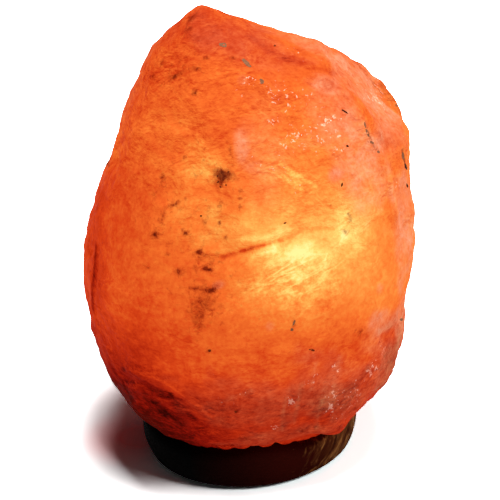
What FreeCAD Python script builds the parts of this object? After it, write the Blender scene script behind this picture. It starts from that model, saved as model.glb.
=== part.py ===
"""Salt crystal lamp: a hewn, bored crystal on a turned wooden base, lit from inside.

Millimetres, +Z up, front towards -Y. The origin is the middle of the resting plane, on the axis
of the base. Every driving size is a cell of the "sizes" sheet, and the features are bound to it.
"""
import FreeCAD, Part

import math
import os

import Sketcher

Vector = FreeCAD.Vector
Rotation = FreeCAD.Rotation

# Driving sizes in mm, degrees or counts. Each is written once, here. What fits round or into
# another piece has no size of its own: it is worked out below from these and a clearance.
SIZES = [
    # crystal
    ("crystal_width", 157.0, "widest left to right"),
    ("crystal_depth", 156.0, "widest front to back"),
    ("crystal_height", 207.0, "sawn foot to peak"),
    ("crystal_sides", 18.0, "hewn facets round the crystal"),
    ("hew_depth", 1.6, "how far the hewn facets wander in and out"),
    ("bore_headroom", 14.9, "top of the bulb to the domed end of the bore"),
    ("bore_clearance", 9.0, "holder to the wall of the bore, room for the clips"),
    # wooden base
    ("base_radius", 53.0, "widest"),
    ("base_height", 18.0, "turned base, without its felt"),
    ("base_undercut", 3.0, "widest to the edge of the underside"),
    ("base_top_inset", 0.8, "widest to the edge of the top"),
    ("base_side_radius", 30.6, "arc of the bulging side"),
    ("base_edge_round", 4.5, "rounded top edge"),
    ("base_foot_round", 1.2, "eased bottom edge"),
    ("recess_ledge", 5.5, "bore to the wall of the recess in the underside"),
    ("cord_slot_play", 0.4, "collar to each side of the cord slot"),
    ("cord_slot_headroom", 0.5, "cord to the top of the cord slot"),
    ("felt_thickness", 2.0, "felt ring that the lamp stands on"),
    ("felt_recess_margin", 2.5, "bare wood between the recess and the felt"),
    ("felt_margin", 3.5, "bare wood outside the felt"),
    ("felt_gap_margin", 1.0, "cord slot to each end of the felt"),
    # crystal fixings
    ("fixing_count", 3.0, "screws that hold the crystal"),
    ("fixing_wall", 3.9, "wood between the recess and a screw head"),
    ("screw_radius", 2.0, "shank"),
    ("screw_head_radius", 3.9, "countersunk head"),
    ("screw_sink", 2.4, "head below the underside"),
    ("screw_play", 0.2, "screw to its hole in the wood"),
    ("screw_tip_margin", 4.6, "tip of a screw to the end of its plug"),
    ("plug_wall", 2.15, "nylon plug in the crystal"),
    ("plug_length", 23.0, "nylon plug in the crystal"),
    ("plug_chamfer", 1.0, "inner end of a plug"),
    ("plug_hole_extra", 1.0, "hole in the crystal, past the plug"),
    # lamp holder
    ("plate_play", 1.5, "edge of the clip plate to the wall of the recess"),
    ("plate_thickness", 0.8, "steel clip plate"),
    ("plate_gap", 0.2, "clip plate to the ceiling of the recess"),
    ("holder_wall", 2.0, "moulded holder, round the terminal chamber"),
    ("holder_chamfer", 1.5, "mouth of the holder, outside"),
    ("socket_wall", 4.7, "moulded holder, round the socket"),
    ("socket_depth", 22.0, "holder mouth to its floor"),
    ("socket_floor", 4.0, "floor of the socket"),
    ("socket_play", 0.4, "flange of the screw shell to the socket"),
    ("shell_wall", 0.4, "screw shell"),
    ("shell_flange", 0.6, "foot of the screw shell, outwards"),
    ("shell_foot_width", 2.0, "foot of the screw shell, inwards"),
    ("shell_inset", 2.0, "rim of the screw shell below the mouth"),
    ("thread_play", 0.6, "screw cap to the screw shell"),
    ("contact_radius", 2.8, "head of the centre contact"),
    ("contact_pin_radius", 1.1, "contact pins through the socket floor"),
    ("neutral_inset", 0.7, "neutral pin inside the wall of the screw shell"),
    ("terminal_width", 4.0, "terminal block"),
    ("terminal_height", 4.2, "terminal block"),
    ("terminal_tail", 1.0, "how much longer the middle block is"),
    ("terminal_gap", 0.5, "terminal block to the ceiling of its chamber"),
    ("terminal_room", 3.5, "terminal block to the clip plate"),
    ("terminal_screw_radius", 1.3, "terminal screw"),
    ("terminal_screw_stand", 1.2, "terminal screw, out of its block"),
    ("cap_inset", 0.5, "side of the holder to the side of the cap"),
    ("cap_wall", 1.5, "cap under the clip plate"),
    ("cap_chamfer", 2.0, "bottom edge of the cap"),
    ("cap_lift", 1.6, "underside of the base to the cap"),
    ("neck_play", 2.5, "neck of the cap to the wall of the chamber"),
    ("neck_length", 2.4, "neck above the underside of the plate"),
    ("cord_radius", 2.7, "hole for the cord"),
    ("collar_wall", 0.9, "collar round the cord hole"),
    ("collar_length", 5.5, "cap to the end of the collar"),
    # spring clips
    ("clip_count", 3.0, "spring clips round the holder"),
    ("clip_width", 8.0, "spring strip"),
    ("clip_thickness", 0.5, "spring strip"),
    ("clip_height", 30.0, "clip above the clip plate"),
    ("clip_belly_height", 15.6, "bulge of a clip above the clip plate"),
    ("clip_root_inset", 2.5, "wall of the bore to the standing root of a clip"),
    ("clip_tip_inset", 4.3, "wall of the bore to the tip of a clip"),
    ("clip_gap", 0.3, "bulge of a clip to the wall of the bore"),
    ("root_height", 1.6, "standing root of a clip"),
    ("rivet_radius", 1.2, "rivet through a clip root"),
    ("rivet_head_radius", 2.1, "rivet head"),
    ("rivet_head_height", 0.7, "rivet head"),
    # bulb
    ("bulb_radius", 12.5, "tubular glass"),
    ("bulb_length", 84.0, "tip contact to the top of the glass"),
    ("bulb_gap", 0.3, "tip contact to the centre contact"),
    ("glass_wall", 0.7, "glass"),
    ("glass_neck_depth", 4.0, "neck of the glass inside the screw cap"),
    ("glass_neck_rise", 1.0, "neck of the glass above the screw cap"),
    ("bulb_cap_radius", 6.8, "screw cap"),
    ("bulb_cap_height", 19.0, "screw cap"),
    ("bulb_cap_wall", 0.35, "screw cap"),
    ("bulb_cap_flare", 0.8, "rim of the screw cap, outwards"),
    ("bulb_cap_flare_height", 2.0, "rim of the screw cap"),
    ("bulb_tip_height", 1.2, "tip contact"),
    ("bulb_tip_radius", 2.3, "tip contact, where it meets the black glass"),
    ("bulb_tip_flat_radius", 1.4, "flat end of the tip contact"),
    ("insulator_radius", 3.2, "black glass under the cap, round the tip contact"),
    ("insulator_height", 2.2, "black glass under the cap"),
    ("stem_radius", 2.4, "glass stem"),
    ("stem_height", 17.0, "glass stem"),
    ("stem_foot_height", 1.0, "foot of the stem, as wide as the neck"),
    ("stem_flare_height", 4.0, "foot of the stem, to where it is slim"),
    ("lead_radius", 0.35, "lead wire"),
    ("filament_drop", 26.5, "top of the glass to the ends of the filament"),
    ("filament_gap", 5.3, "glass to the ends of the filament"),
    ("filament_radius", 0.3, "filament"),
    # fits
    ("slip", 0.05, "running clearance of screws, plugs and rivets"),
    ("seat", 0.1, "clearance of a part dropped into its seat"),
]

# The sawn foot's edge to the widest of the base, on the left, right, front and back.
FOOT_INSETS = (5.9, 1.19, 8.54, 3.08)
# The crystal as hewn: height above its foot as a share of the crystal's height, then the reach
# to the left, right, front and back as shares of half the crystal's width and depth.
CRYSTAL_RINGS = [
    (0.05, 0.77, 0.87, 0.73, 0.77),
    (0.14, 0.87, 0.98, 0.88, 0.88),
    (0.27, 0.93, 1.02, 0.96, 0.95),
    (0.41, 0.95, 1.09, 1.01, 1.00),
    (0.55, 0.84, 1.08, 0.96, 0.98),
    (0.67, 0.69, 1.06, 0.87, 0.96),
    (0.78, 0.57, 1.00, 0.74, 0.83),
    (0.87, 0.45, 0.75, 0.56, 0.50),
    (0.94, 0.30, 0.20, 0.34, 0.23),
    (0.98, 0.18, 0.00, 0.16, 0.08),
]
PEAK = (-0.09, -0.04)  # where the peak stands, as shares of half the width and depth
# Broad cleavage faces: the way each faces as an azimuth from +X and a rise, and its distance
# from the crystal's middle as a share of half the crystal's width.
CLEAVAGES = [
    (-4.0, 40.0, 1.11),
    (44.0, 56.0, 1.08),
]
ROUNDNESS = 0.9  # 1 is an ellipse, less is squarer
# Uneven waves that shift the corners: turn in radians a side and a ring, and a head start.
SWAY, BEAT, LIFT = (2.3, 1.7, 0.0), (1.1, -2.9, math.pi / 2), (3.1, 1.0, 0.0)


# ---- the document and its sheet ------------------------------------------------------------

doc = FreeCAD.newDocument("salt_crystal_lamp")
sheet = doc.addObject("Spreadsheet::Sheet", "sizes")
parts = []


def fill_sheet():
    """One row a size: what it is, and its value under an alias."""
    for row, (alias, number, meaning) in enumerate(SIZES, start=1):
        sheet.set(f"A{row}", meaning)
        sheet.set(f"B{row}", str(number))
        sheet.setAlias(f"B{row}", alias)
    doc.recompute()


def size(alias):
    """The number in a cell of the sheet."""
    return float(sheet.get(alias))


def sized(text):
    """An expression in which each alias reads the sheet."""
    words = {alias for alias, _, _ in SIZES}
    out, word = "", ""
    for letter in text + " ":
        if letter.isalnum() or letter == "_":
            word += letter
            continue
        out += f"sizes.{word}" if word in words else word
        out += letter
        word = ""
    return out.strip()


# ---- helpers for bodies, sketches and features ---------------------------------------------


def new_body(label, turn=0.0):
    """An empty body, turned about the lamp's axis by so many degrees."""
    body = doc.addObject("PartDesign::Body", label)
    body.Label = label
    body.Placement = FreeCAD.Placement(Vector(), Rotation(Vector(0, 0, 1), turn))
    parts.append(body)
    return body


def origin_item(body, role):
    """One of the body's own origin planes or axes."""
    return next(item for item in body.Origin.OriginFeatures if item.Role == role)


def new_sketch(body, role, lift="0"):
    """A sketch on an origin plane, lifted along the plane's normal."""
    sketch = body.newObject("Sketcher::SketchObject", f"{body.Label}_sketch")
    sketch.AttachmentSupport = [(origin_item(body, role), "")]
    sketch.MapMode = "FlatFace"
    if lift != "0":
        sketch.setExpression(".AttachmentOffset.Base.z", sized(lift))
    return sketch


def measure(item, text):
    """The present value of an expression."""
    return float(item.evalExpression(sized(text)))


def tie(sketch, kind, *where):
    """Add a dimension and bind it to its expression."""
    *ends, text = where
    number = measure(sketch, text)
    index = sketch.addConstraint(Sketcher.Constraint(kind, *ends, number))
    sketch.setExpression(f"Constraints[{index}]", sized(text))


def pin_point(sketch, geometry, point, across, up):
    """Hold a point at (across, up) from the sketch's origin."""
    for kind, axis, text in (("DistanceX", -2, across), ("DistanceY", -1, up)):
        if text == "0":
            sketch.addConstraint(Sketcher.Constraint("PointOnObject", geometry, point, axis))
        else:
            tie(sketch, kind, -1, 1, geometry, point, text)


def add_side(sketch, start, end, bend):
    """A straight side, or an arc of a radius that bulges right of its travel if bend is positive.

    Returns the geometry's number and which of its points are the start and the end.
    """
    if not bend:
        return sketch.addGeometry(Part.LineSegment(start, end), False), 1, 2
    radius = abs(bend)
    chord = end.sub(start)
    middle = start.add(chord * 0.5)
    left = Vector(-chord.y, chord.x, 0).normalize()
    rise = math.sqrt(radius**2 - (chord.Length / 2) ** 2)
    centre = middle.add(left * (rise if bend > 0 else -rise))
    circle = Part.Circle(centre, Vector(0, 0, 1), radius)
    first, last = (start, end) if bend > 0 else (end, start)
    angles = [math.atan2(p.y - centre.y, p.x - centre.x) for p in (first, last)]
    if angles[1] < angles[0]:
        angles[1] += 2 * math.pi
    number = sketch.addGeometry(Part.ArcOfCircle(circle, *angles), False)
    return (number, 1, 2) if bend > 0 else (number, 2, 1)


def draw_outline(sketch, corners):
    """A closed outline of corners (across, up), each held at its place.

    A third entry is the radius of the arc that follows the corner: it bulges to the right of
    the travel, or to the left where a minus sign comes first.
    """
    places = [Vector(measure(sketch, c[0]), measure(sketch, c[1]), 0) for c in corners]
    sides = []
    for index, corner in enumerate(corners):
        radius = measure(sketch, corner[2].lstrip("-")) if len(corner) > 2 else 0.0
        bend = -radius if radius and corner[2].startswith("-") else radius
        following = places[(index + 1) % len(places)]
        sides.append(add_side(sketch, places[index], following, bend))
    for index, (number, _, end) in enumerate(sides):
        following, start, _ = sides[(index + 1) % len(sides)]
        sketch.addConstraint(Sketcher.Constraint("Coincident", number, end, following, start))
    for (number, start, _), corner in zip(sides, corners):
        pin_point(sketch, number, start, corner[0], corner[1])
        if len(corner) > 2:
            tie(sketch, "Radius", number, corner[2].lstrip("-"))


def draw_circle(sketch, radius, across="0", up="0"):
    """A circle of a radius about (across, up)."""
    centre = Vector(measure(sketch, across), measure(sketch, up), 0)
    circle = Part.Circle(centre, Vector(0, 0, 1), measure(sketch, radius))
    number = sketch.addGeometry(circle, False)
    pin_point(sketch, number, 3, across, up)
    tie(sketch, "Radius", number, radius)


def draw_box(sketch, left, right, low, high):
    """An upright rectangle."""
    draw_outline(sketch, [(left, low), (right, low), (right, high), (left, high)])


def add_feature(body, kind, sketch, length=None, symmetric=False, back=False):
    """A Pad or Pocket of a length, or a Revolution or Groove about the sketch's upright axis."""
    feature = body.newObject(f"PartDesign::{kind}", f"{body.Label}_{kind.lower()}")
    feature.Profile = sketch
    if length:
        feature.setExpression("Length", sized(length))
        feature.Reversed = back
        if symmetric:
            feature.SideType = "Symmetric"
    else:
        feature.ReferenceAxis = (sketch, ["V_Axis"])
        feature.Angle = 360
    sketch.Visibility = False
    doc.recompute()
    return feature


def repeat_round(body, features, count):
    """Repeat features evenly about the lamp's axis."""
    pattern = body.newObject("PartDesign::PolarPattern", f"{body.Label}_pattern")
    pattern.Originals = features
    pattern.Axis = (origin_item(body, "Z_Axis"), [""])
    pattern.Angle = 360
    pattern.setExpression("Occurrences", sized(count))
    body.Tip = pattern
    doc.recompute()
    return pattern


def round_edges(body, wanted, radius):
    """Fillet the edges for which wanted(edge) is true."""
    base = body.Tip
    names = [f"Edge{n}" for n, edge in enumerate(base.Shape.Edges, start=1) if wanted(edge)]
    fillet = body.newObject("PartDesign::Fillet", f"{body.Label}_fillet")
    fillet.Base = (base, names)
    fillet.setExpression("Radius", sized(radius))
    doc.recompute()
    return fillet


def turned(label, corners):
    """A body turned from one outline of (radius, height) corners."""
    body = new_body(label)
    sketch = new_sketch(body, "XZ_Plane")
    draw_outline(sketch, corners)
    add_feature(body, "Revolution", sketch)
    return body


def ring_edge_at(body, radius_text, height_text):
    """A test for the round edge of a radius at a height."""
    radius, height = measure(body, radius_text), measure(body, height_text)

    def wanted(edge):
        box = edge.BoundBox
        near_height = abs(box.ZMin - height) < 0.01 and abs(box.ZMax - height) < 0.01
        return near_height and abs(box.XMax - radius) < 0.01

    return wanted


# ---- radii and heights that several pieces share --------------------------------------------

# From the bulb outwards: screw shell, socket, holder, bore, recess, fixing screws.
SHELL_RADIUS = "(bulb_cap_radius + thread_play)"
SHELL_OUTER = f"({SHELL_RADIUS} + shell_wall)"
SOCKET_RADIUS = f"({SHELL_OUTER} + shell_flange + socket_play)"
HOLDER_RADIUS = f"({SOCKET_RADIUS} + socket_wall)"
CHAMBER_RADIUS = f"({HOLDER_RADIUS} - holder_wall)"
CAP_RADIUS = f"({HOLDER_RADIUS} - cap_inset)"
CAP_NECK_RADIUS = f"({CHAMBER_RADIUS} - neck_play)"
COLLAR_RADIUS = "(cord_radius + collar_wall)"
COLLAR_END = f"({CAP_RADIUS} + collar_length)"
BORE_RADIUS = f"({HOLDER_RADIUS} + bore_clearance)"
RECESS_RADIUS = f"({BORE_RADIUS} + recess_ledge)"
PLATE_RADIUS = f"({RECESS_RADIUS} - plate_play)"
FIXING_CIRCLE = f"({RECESS_RADIUS} + fixing_wall + screw_play + screw_head_radius)"
PLUG_RADIUS = "(screw_radius + slip + plug_wall)"
UNDERSIDE_RADIUS = "(base_radius - base_undercut)"
TOP_RADIUS = "(base_radius - base_top_inset)"
SLOT_HALF_WIDTH = f"({COLLAR_RADIUS} + cord_slot_play)"
CLIP_ROOT_RADIUS = f"({BORE_RADIUS} - clip_root_inset)"
CLIP_TIP_RADIUS = f"({BORE_RADIUS} - clip_tip_inset)"
RIVET_CIRCLE = f"({CLIP_ROOT_RADIUS} - rivet_head_radius - clip_thickness)"
NEUTRAL_OFFSET = f"({SHELL_RADIUS} - neutral_inset)"
NECK_RADIUS = "(bulb_cap_radius - bulb_cap_wall - seat)"
FILAMENT_REACH = "(bulb_radius - glass_wall - filament_gap)"

# From the table upwards. The recess is as deep as the cap and the clip plate need.
UNDERSIDE = "felt_thickness"
BASE_TOP = "(felt_thickness + base_height)"
CAP_BOTTOM = f"({UNDERSIDE} + cap_lift)"
CORD_HEIGHT = f"({CAP_BOTTOM} + {COLLAR_RADIUS} + seat)"
PLATE_BOTTOM = f"({CORD_HEIGHT} + {COLLAR_RADIUS} + seat)"
PLATE_TOP = f"({PLATE_BOTTOM} + plate_thickness)"
CEILING = f"({PLATE_TOP} + plate_gap)"
SLOT_TOP = f"({CORD_HEIGHT} + cord_radius + cord_slot_headroom)"
TERMINAL_BOTTOM = f"({PLATE_TOP} + terminal_room)"
TERMINAL_TOP = f"({TERMINAL_BOTTOM} + terminal_height)"
CHAMBER_TOP = f"({TERMINAL_TOP} + terminal_gap)"
SOCKET_FLOOR = f"({CHAMBER_TOP} + socket_floor)"
HOLDER_TOP = f"({SOCKET_FLOOR} + socket_depth)"
CONTACT_TOP = f"({SOCKET_FLOOR} + 2 * shell_wall)"
TIP = f"({CONTACT_TOP} + bulb_gap)"
TIP_TOP = f"({TIP} + bulb_tip_height)"
CAP_START = f"({TIP_TOP} + insulator_height)"
CAP_END = f"({CAP_START} + bulb_cap_height)"
FLARE_START = f"({CAP_END} - bulb_cap_flare_height)"
BULB_TOP = f"({TIP} + bulb_length)"
BORE_END = f"({BULB_TOP} + bore_headroom)"
GLASS_START = f"({CAP_END} - glass_neck_depth)"
NECK_TOP = f"({CAP_END} + glass_neck_rise)"
STEM_TOP = f"({GLASS_START} + stem_height)"
FILAMENT_HEIGHT = f"({BULB_TOP} - filament_drop)"
ROOT_TOP = f"({PLATE_TOP} + root_height)"
PLUG_END = f"({BASE_TOP} + plug_length)"


# ---- crystal -------------------------------------------------------------------------------


def ring_point(reach, angle, height, wander):
    """A point of a ring: left, right, front and back reach, blended round the corners."""
    left, right, front, back = reach
    across, along = math.cos(angle), math.sin(angle)
    across = math.copysign(abs(across) ** ROUNDNESS, across)
    along = math.copysign(abs(along) ** ROUNDNESS, along)
    middle = Vector((right - left) / 2, (back - front) / 2, height)
    arm = Vector(across * (right + left) / 2, along * (back + front) / 2, 0)
    return middle.add(arm * (1 + wander / arm.Length))


def hew_wave(wave, side, level):
    """How far a wave shifts a corner, from -1 to 1."""
    side_turn, level_turn, start = wave
    return math.sin(side_turn * side + level_turn * level + start)


def crystal_rings():
    """The rings of corners between the hewn facets, each turned half a side from the last."""
    half_width = size("crystal_width") / 2
    half_depth = size("crystal_depth") / 2
    halves = (half_width, half_width, half_depth, half_depth)
    foot = tuple(size("base_radius") - inset for inset in FOOT_INSETS)
    levels = [(0.0, foot)]
    for share, *shares in CRYSTAL_RINGS:
        levels.append((share, tuple(part * half for part, half in zip(shares, halves))))
    sides = int(size("crystal_sides"))
    rings = []
    for level, (share, reach) in enumerate(levels):
        height = size("felt_thickness") + size("base_height") + share * size("crystal_height")
        girth = sum(reach) / (2 * (half_width + half_depth))
        ring = []
        for side in range(sides):
            angle = 2 * math.pi * (side + level % 2 / 2) / sides
            wander = hew_wave(SWAY, side, level) * hew_wave(BEAT, side, level)
            wander *= size("hew_depth") * girth
            lift = 2 * size("hew_depth") * hew_wave(LIFT, side, level) * girth if level else 0
            ring.append(ring_point(reach, angle, height + lift, wander))
        rings.append(ring)
    return rings


def crystal_block():
    """The hewn block: flat triangular facets between the rings, a sawn foot and a peak."""
    rings = crystal_rings()
    sides = len(rings[0])
    peak = Vector(
        PEAK[0] * size("crystal_width") / 2,
        PEAK[1] * size("crystal_depth") / 2,
        rings[0][0].z + size("crystal_height"),
    )
    triangles = []
    for level in range(len(rings) - 1):
        low, high = rings[level], rings[level + 1]
        for side in range(sides):
            after = (side + 1) % sides
            if level % 2 == 0:
                triangles.append((low[side], low[after], high[side]))
                triangles.append((low[after], high[after], high[side]))
            else:
                triangles.append((low[side], high[after], high[side]))
                triangles.append((low[side], low[after], high[after]))
    top = rings[-1]
    for side in range(sides):
        triangles.append((top[side], top[(side + 1) % sides], peak))
    faces = [Part.Face(Part.makePolygon([a, b, c, a])) for a, b, c in triangles]
    faces.append(Part.Face(Part.makePolygon(rings[0] + rings[0][:1])))
    solid = Part.Solid(Part.Shell(faces))
    if solid.Volume < 0:
        solid.reverse()
    for azimuth, rise, share in CLEAVAGES:
        solid = solid.cut(beyond_face(azimuth, rise, share * size("crystal_width") / 2))
    return solid


def beyond_face(azimuth, rise, reach):
    """All that lies beyond a flat face, as a block larger than the crystal."""
    block = 3 * size("crystal_height")
    box = Part.makeBox(block, 2 * block, 2 * block, Vector(reach, -block, -block))
    box.rotate(Vector(), Vector(0, 1, 0), -rise)
    box.rotate(Vector(), Vector(0, 0, 1), azimuth)
    middle = size("felt_thickness") + size("base_height") + size("crystal_height") / 2
    box.translate(Vector(0, 0, middle))
    return box


def make_crystal():
    """The hewn block with its lamp bore and the holes for the plugs."""
    block = doc.addObject("Part::Feature", "hewn_block")
    block.Shape = crystal_block()
    body = new_body("salt_crystal")
    body.BaseFeature = block
    doc.recompute()
    bore = new_sketch(body, "XZ_Plane")
    draw_outline(bore, [
        ("0", BASE_TOP),
        (BORE_RADIUS, BASE_TOP),
        (BORE_RADIUS, f"({BORE_END} - {BORE_RADIUS})", BORE_RADIUS),
        ("0", BORE_END),
    ])
    add_feature(body, "Groove", bore)
    hole = new_sketch(body, "XY_Plane", BASE_TOP)
    draw_circle(hole, f"{PLUG_RADIUS} + slip", "0", f"-{FIXING_CIRCLE}")
    pocket = add_feature(body, "Pocket", hole, "plug_length + plug_hole_extra", back=True)
    repeat_round(body, [pocket], "fixing_count")


# ---- base ----------------------------------------------------------------------------------


def make_wood_base():
    """The turned base: bulging side, underside recess, lamp bore, screw holes and cord slot."""
    belly = "(felt_thickness + base_height / 2)"
    body = turned("wood_base", [
        (BORE_RADIUS, CEILING),
        (RECESS_RADIUS, CEILING),
        (RECESS_RADIUS, UNDERSIDE),
        (UNDERSIDE_RADIUS, UNDERSIDE, "base_side_radius"),
        ("base_radius", belly, "base_side_radius"),
        (TOP_RADIUS, BASE_TOP),
        (BORE_RADIUS, BASE_TOP),
    ])
    round_edges(body, ring_edge_at(body, TOP_RADIUS, BASE_TOP), "base_edge_round")
    round_edges(body, ring_edge_at(body, UNDERSIDE_RADIUS, UNDERSIDE), "base_foot_round")
    shank = new_sketch(body, "XY_Plane", UNDERSIDE)
    draw_circle(shank, "screw_radius + screw_play", "0", f"-{FIXING_CIRCLE}")
    shank_hole = add_feature(body, "Pocket", shank, "base_height", back=True)
    head = new_sketch(body, "XY_Plane", UNDERSIDE)
    draw_circle(head, "screw_head_radius + screw_play", "0", f"-{FIXING_CIRCLE}")
    head_depth = "screw_sink + screw_head_radius - screw_radius"
    head_hole = add_feature(body, "Pocket", head, head_depth, back=True)
    repeat_round(body, [shank_hole, head_hole], "fixing_count")
    slot = new_sketch(body, "XZ_Plane")
    draw_box(slot, f"-{SLOT_HALF_WIDTH}", SLOT_HALF_WIDTH, UNDERSIDE, SLOT_TOP)
    add_feature(body, "Pocket", slot, "base_radius")


def make_felt_ring():
    """The felt that the lamp stands on, open where the cord passes."""
    body = new_body("felt_ring")
    ring = new_sketch(body, "XY_Plane")
    draw_circle(ring, f"{UNDERSIDE_RADIUS} - felt_margin")
    draw_circle(ring, f"{RECESS_RADIUS} + felt_recess_margin")
    add_feature(body, "Pad", ring, "felt_thickness")
    gap = new_sketch(body, "XZ_Plane")
    half = f"({SLOT_HALF_WIDTH} + felt_gap_margin)"
    draw_box(gap, f"-{half}", half, "0", "felt_thickness")
    add_feature(body, "Pocket", gap, "base_radius")


def make_crystal_screws():
    """Countersunk screws from the underside up into the plugs."""
    start = f"({UNDERSIDE} + screw_sink)"
    cone_end = f"({start} + screw_head_radius - screw_radius)"
    end = f"({PLUG_END} - screw_tip_margin)"
    body = new_body("crystal_screws")
    sketch = new_sketch(body, "XZ_Plane")
    draw_outline(sketch, [
        ("0", start),
        ("screw_head_radius", start),
        ("screw_radius", cone_end),
        ("screw_radius", f"({end} - 2 * screw_radius)"),
        ("0", end),
    ])
    screw = add_feature(body, "Revolution", sketch)
    spread_round(body, screw, FIXING_CIRCLE, "fixing_count")


def spread_round(body, feature, radius, count):
    """Move what stands on the body's axis out to a circle, and repeat it round the lamp."""
    for sketch in [item for item in body.Group if item.TypeId == "Sketcher::SketchObject"]:
        sketch.setExpression(".AttachmentOffset.Base.z", sized(radius))
    repeat_round(body, [feature], count)


def make_anchor_plugs():
    """Nylon plugs in the crystal's foot, bored for the screws."""
    body = new_body("anchor_plugs")
    sketch = new_sketch(body, "XZ_Plane")
    bore = "(screw_radius + slip)"
    draw_outline(sketch, [
        (bore, BASE_TOP),
        (PLUG_RADIUS, BASE_TOP),
        (PLUG_RADIUS, f"({PLUG_END} - plug_chamfer)"),
        (f"({PLUG_RADIUS} - plug_chamfer)", PLUG_END),
        (bore, PLUG_END),
    ])
    plug = add_feature(body, "Revolution", sketch)
    spread_round(body, plug, FIXING_CIRCLE, "fixing_count")


# ---- lamp holder ---------------------------------------------------------------------------


def make_clip_plate():
    """The round steel plate that stops in the recess and carries the clips."""
    body = new_body("clip_plate")
    sketch = new_sketch(body, "XY_Plane", PLATE_BOTTOM)
    draw_circle(sketch, PLATE_RADIUS)
    draw_circle(sketch, f"{CAP_NECK_RADIUS} + seat")
    add_feature(body, "Pad", sketch, "plate_thickness")
    hole = new_sketch(body, "XY_Plane", PLATE_BOTTOM)
    draw_circle(hole, "rivet_radius + slip", "0", f"-{RIVET_CIRCLE}")
    pocket = add_feature(body, "Pocket", hole, "plate_thickness", back=True)
    repeat_round(body, [pocket], "clip_count")


def make_clip_roots():
    """The riveted feet of the clips, each bent up at its outer end."""
    body = new_body("clip_roots")
    sketch = new_sketch(body, "YZ_Plane")
    toe = f"-({RIVET_CIRCLE} - rivet_head_radius)"
    heel, inner_heel = f"-{CLIP_ROOT_RADIUS}", f"-({CLIP_ROOT_RADIUS} - clip_thickness)"
    draw_outline(sketch, [
        (toe, PLATE_TOP),
        (heel, PLATE_TOP),
        (heel, ROOT_TOP),
        (inner_heel, ROOT_TOP),
        (inner_heel, f"({PLATE_TOP} + clip_thickness)"),
        (toe, f"({PLATE_TOP} + clip_thickness)"),
    ])
    pad = add_feature(body, "Pad", sketch, "clip_width", symmetric=True)
    hole = new_sketch(body, "XY_Plane", PLATE_TOP)
    draw_circle(hole, "rivet_radius + slip", "0", f"-{RIVET_CIRCLE}")
    pocket = add_feature(body, "Pocket", hole, "clip_thickness", back=True)
    repeat_round(body, [pad, pocket], "clip_count")


def make_clip_rivets():
    """Rivets through the clip roots and the plate, headed on both sides."""
    body = new_body("clip_rivets")
    sketch = new_sketch(body, "XZ_Plane")
    high = f"({PLATE_TOP} + clip_thickness)"
    draw_outline(sketch, [
        ("0", f"({PLATE_BOTTOM} - rivet_head_height)"),
        ("rivet_head_radius", f"({PLATE_BOTTOM} - rivet_head_height)"),
        ("rivet_head_radius", PLATE_BOTTOM),
        ("rivet_radius", PLATE_BOTTOM),
        ("rivet_radius", high),
        ("rivet_head_radius", high),
        ("rivet_head_radius", f"({high} + rivet_head_height)"),
        ("0", f"({high} + rivet_head_height)"),
    ])
    rivet = add_feature(body, "Revolution", sketch)
    spread_round(body, rivet, RIVET_CIRCLE, "clip_count")


def make_spring_clip(number):
    """A leaf that bulges to the bore and turns in at its tip."""
    body = new_body(f"spring_clip_{number}", 360.0 * (number - 1) / size("clip_count"))
    sketch = new_sketch(body, "YZ_Plane")
    low = f"({ROOT_TOP} + clip_gap / 2)"
    high = f"({PLATE_TOP} + clip_height)"
    belly = f"({PLATE_TOP} + clip_belly_height)"
    bulge = f"sqrt(({BORE_RADIUS} - clip_gap) ^ 2 - (clip_width / 2) ^ 2)"
    draw_outline(sketch, [
        (f"-({CLIP_ROOT_RADIUS} - clip_thickness)", low),
        (f"-{CLIP_ROOT_RADIUS}", low),
        (f"-{bulge}", belly),
        (f"-{CLIP_TIP_RADIUS}", high),
        (f"-({CLIP_TIP_RADIUS} - clip_thickness)", high),
        (f"-({bulge} - clip_thickness)", belly),
    ])
    add_feature(body, "Pad", sketch, "clip_width", symmetric=True)


def make_holder_body():
    """The moulded holder: terminal chamber below, socket above, two pin holes between."""
    body = turned("holder_body", [
        (CHAMBER_RADIUS, PLATE_TOP),
        (HOLDER_RADIUS, PLATE_TOP),
        (HOLDER_RADIUS, f"({HOLDER_TOP} - holder_chamfer)"),
        (f"({HOLDER_RADIUS} - holder_chamfer)", HOLDER_TOP),
        (SOCKET_RADIUS, HOLDER_TOP),
        (SOCKET_RADIUS, SOCKET_FLOOR),
        ("0", SOCKET_FLOOR),
        ("0", CHAMBER_TOP),
        (CHAMBER_RADIUS, CHAMBER_TOP),
    ])
    holes = new_sketch(body, "XY_Plane", CHAMBER_TOP)
    draw_circle(holes, "contact_pin_radius + slip")
    draw_circle(holes, "contact_pin_radius + slip", NEUTRAL_OFFSET)
    add_feature(body, "Pocket", holes, "socket_floor", back=True)


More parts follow.
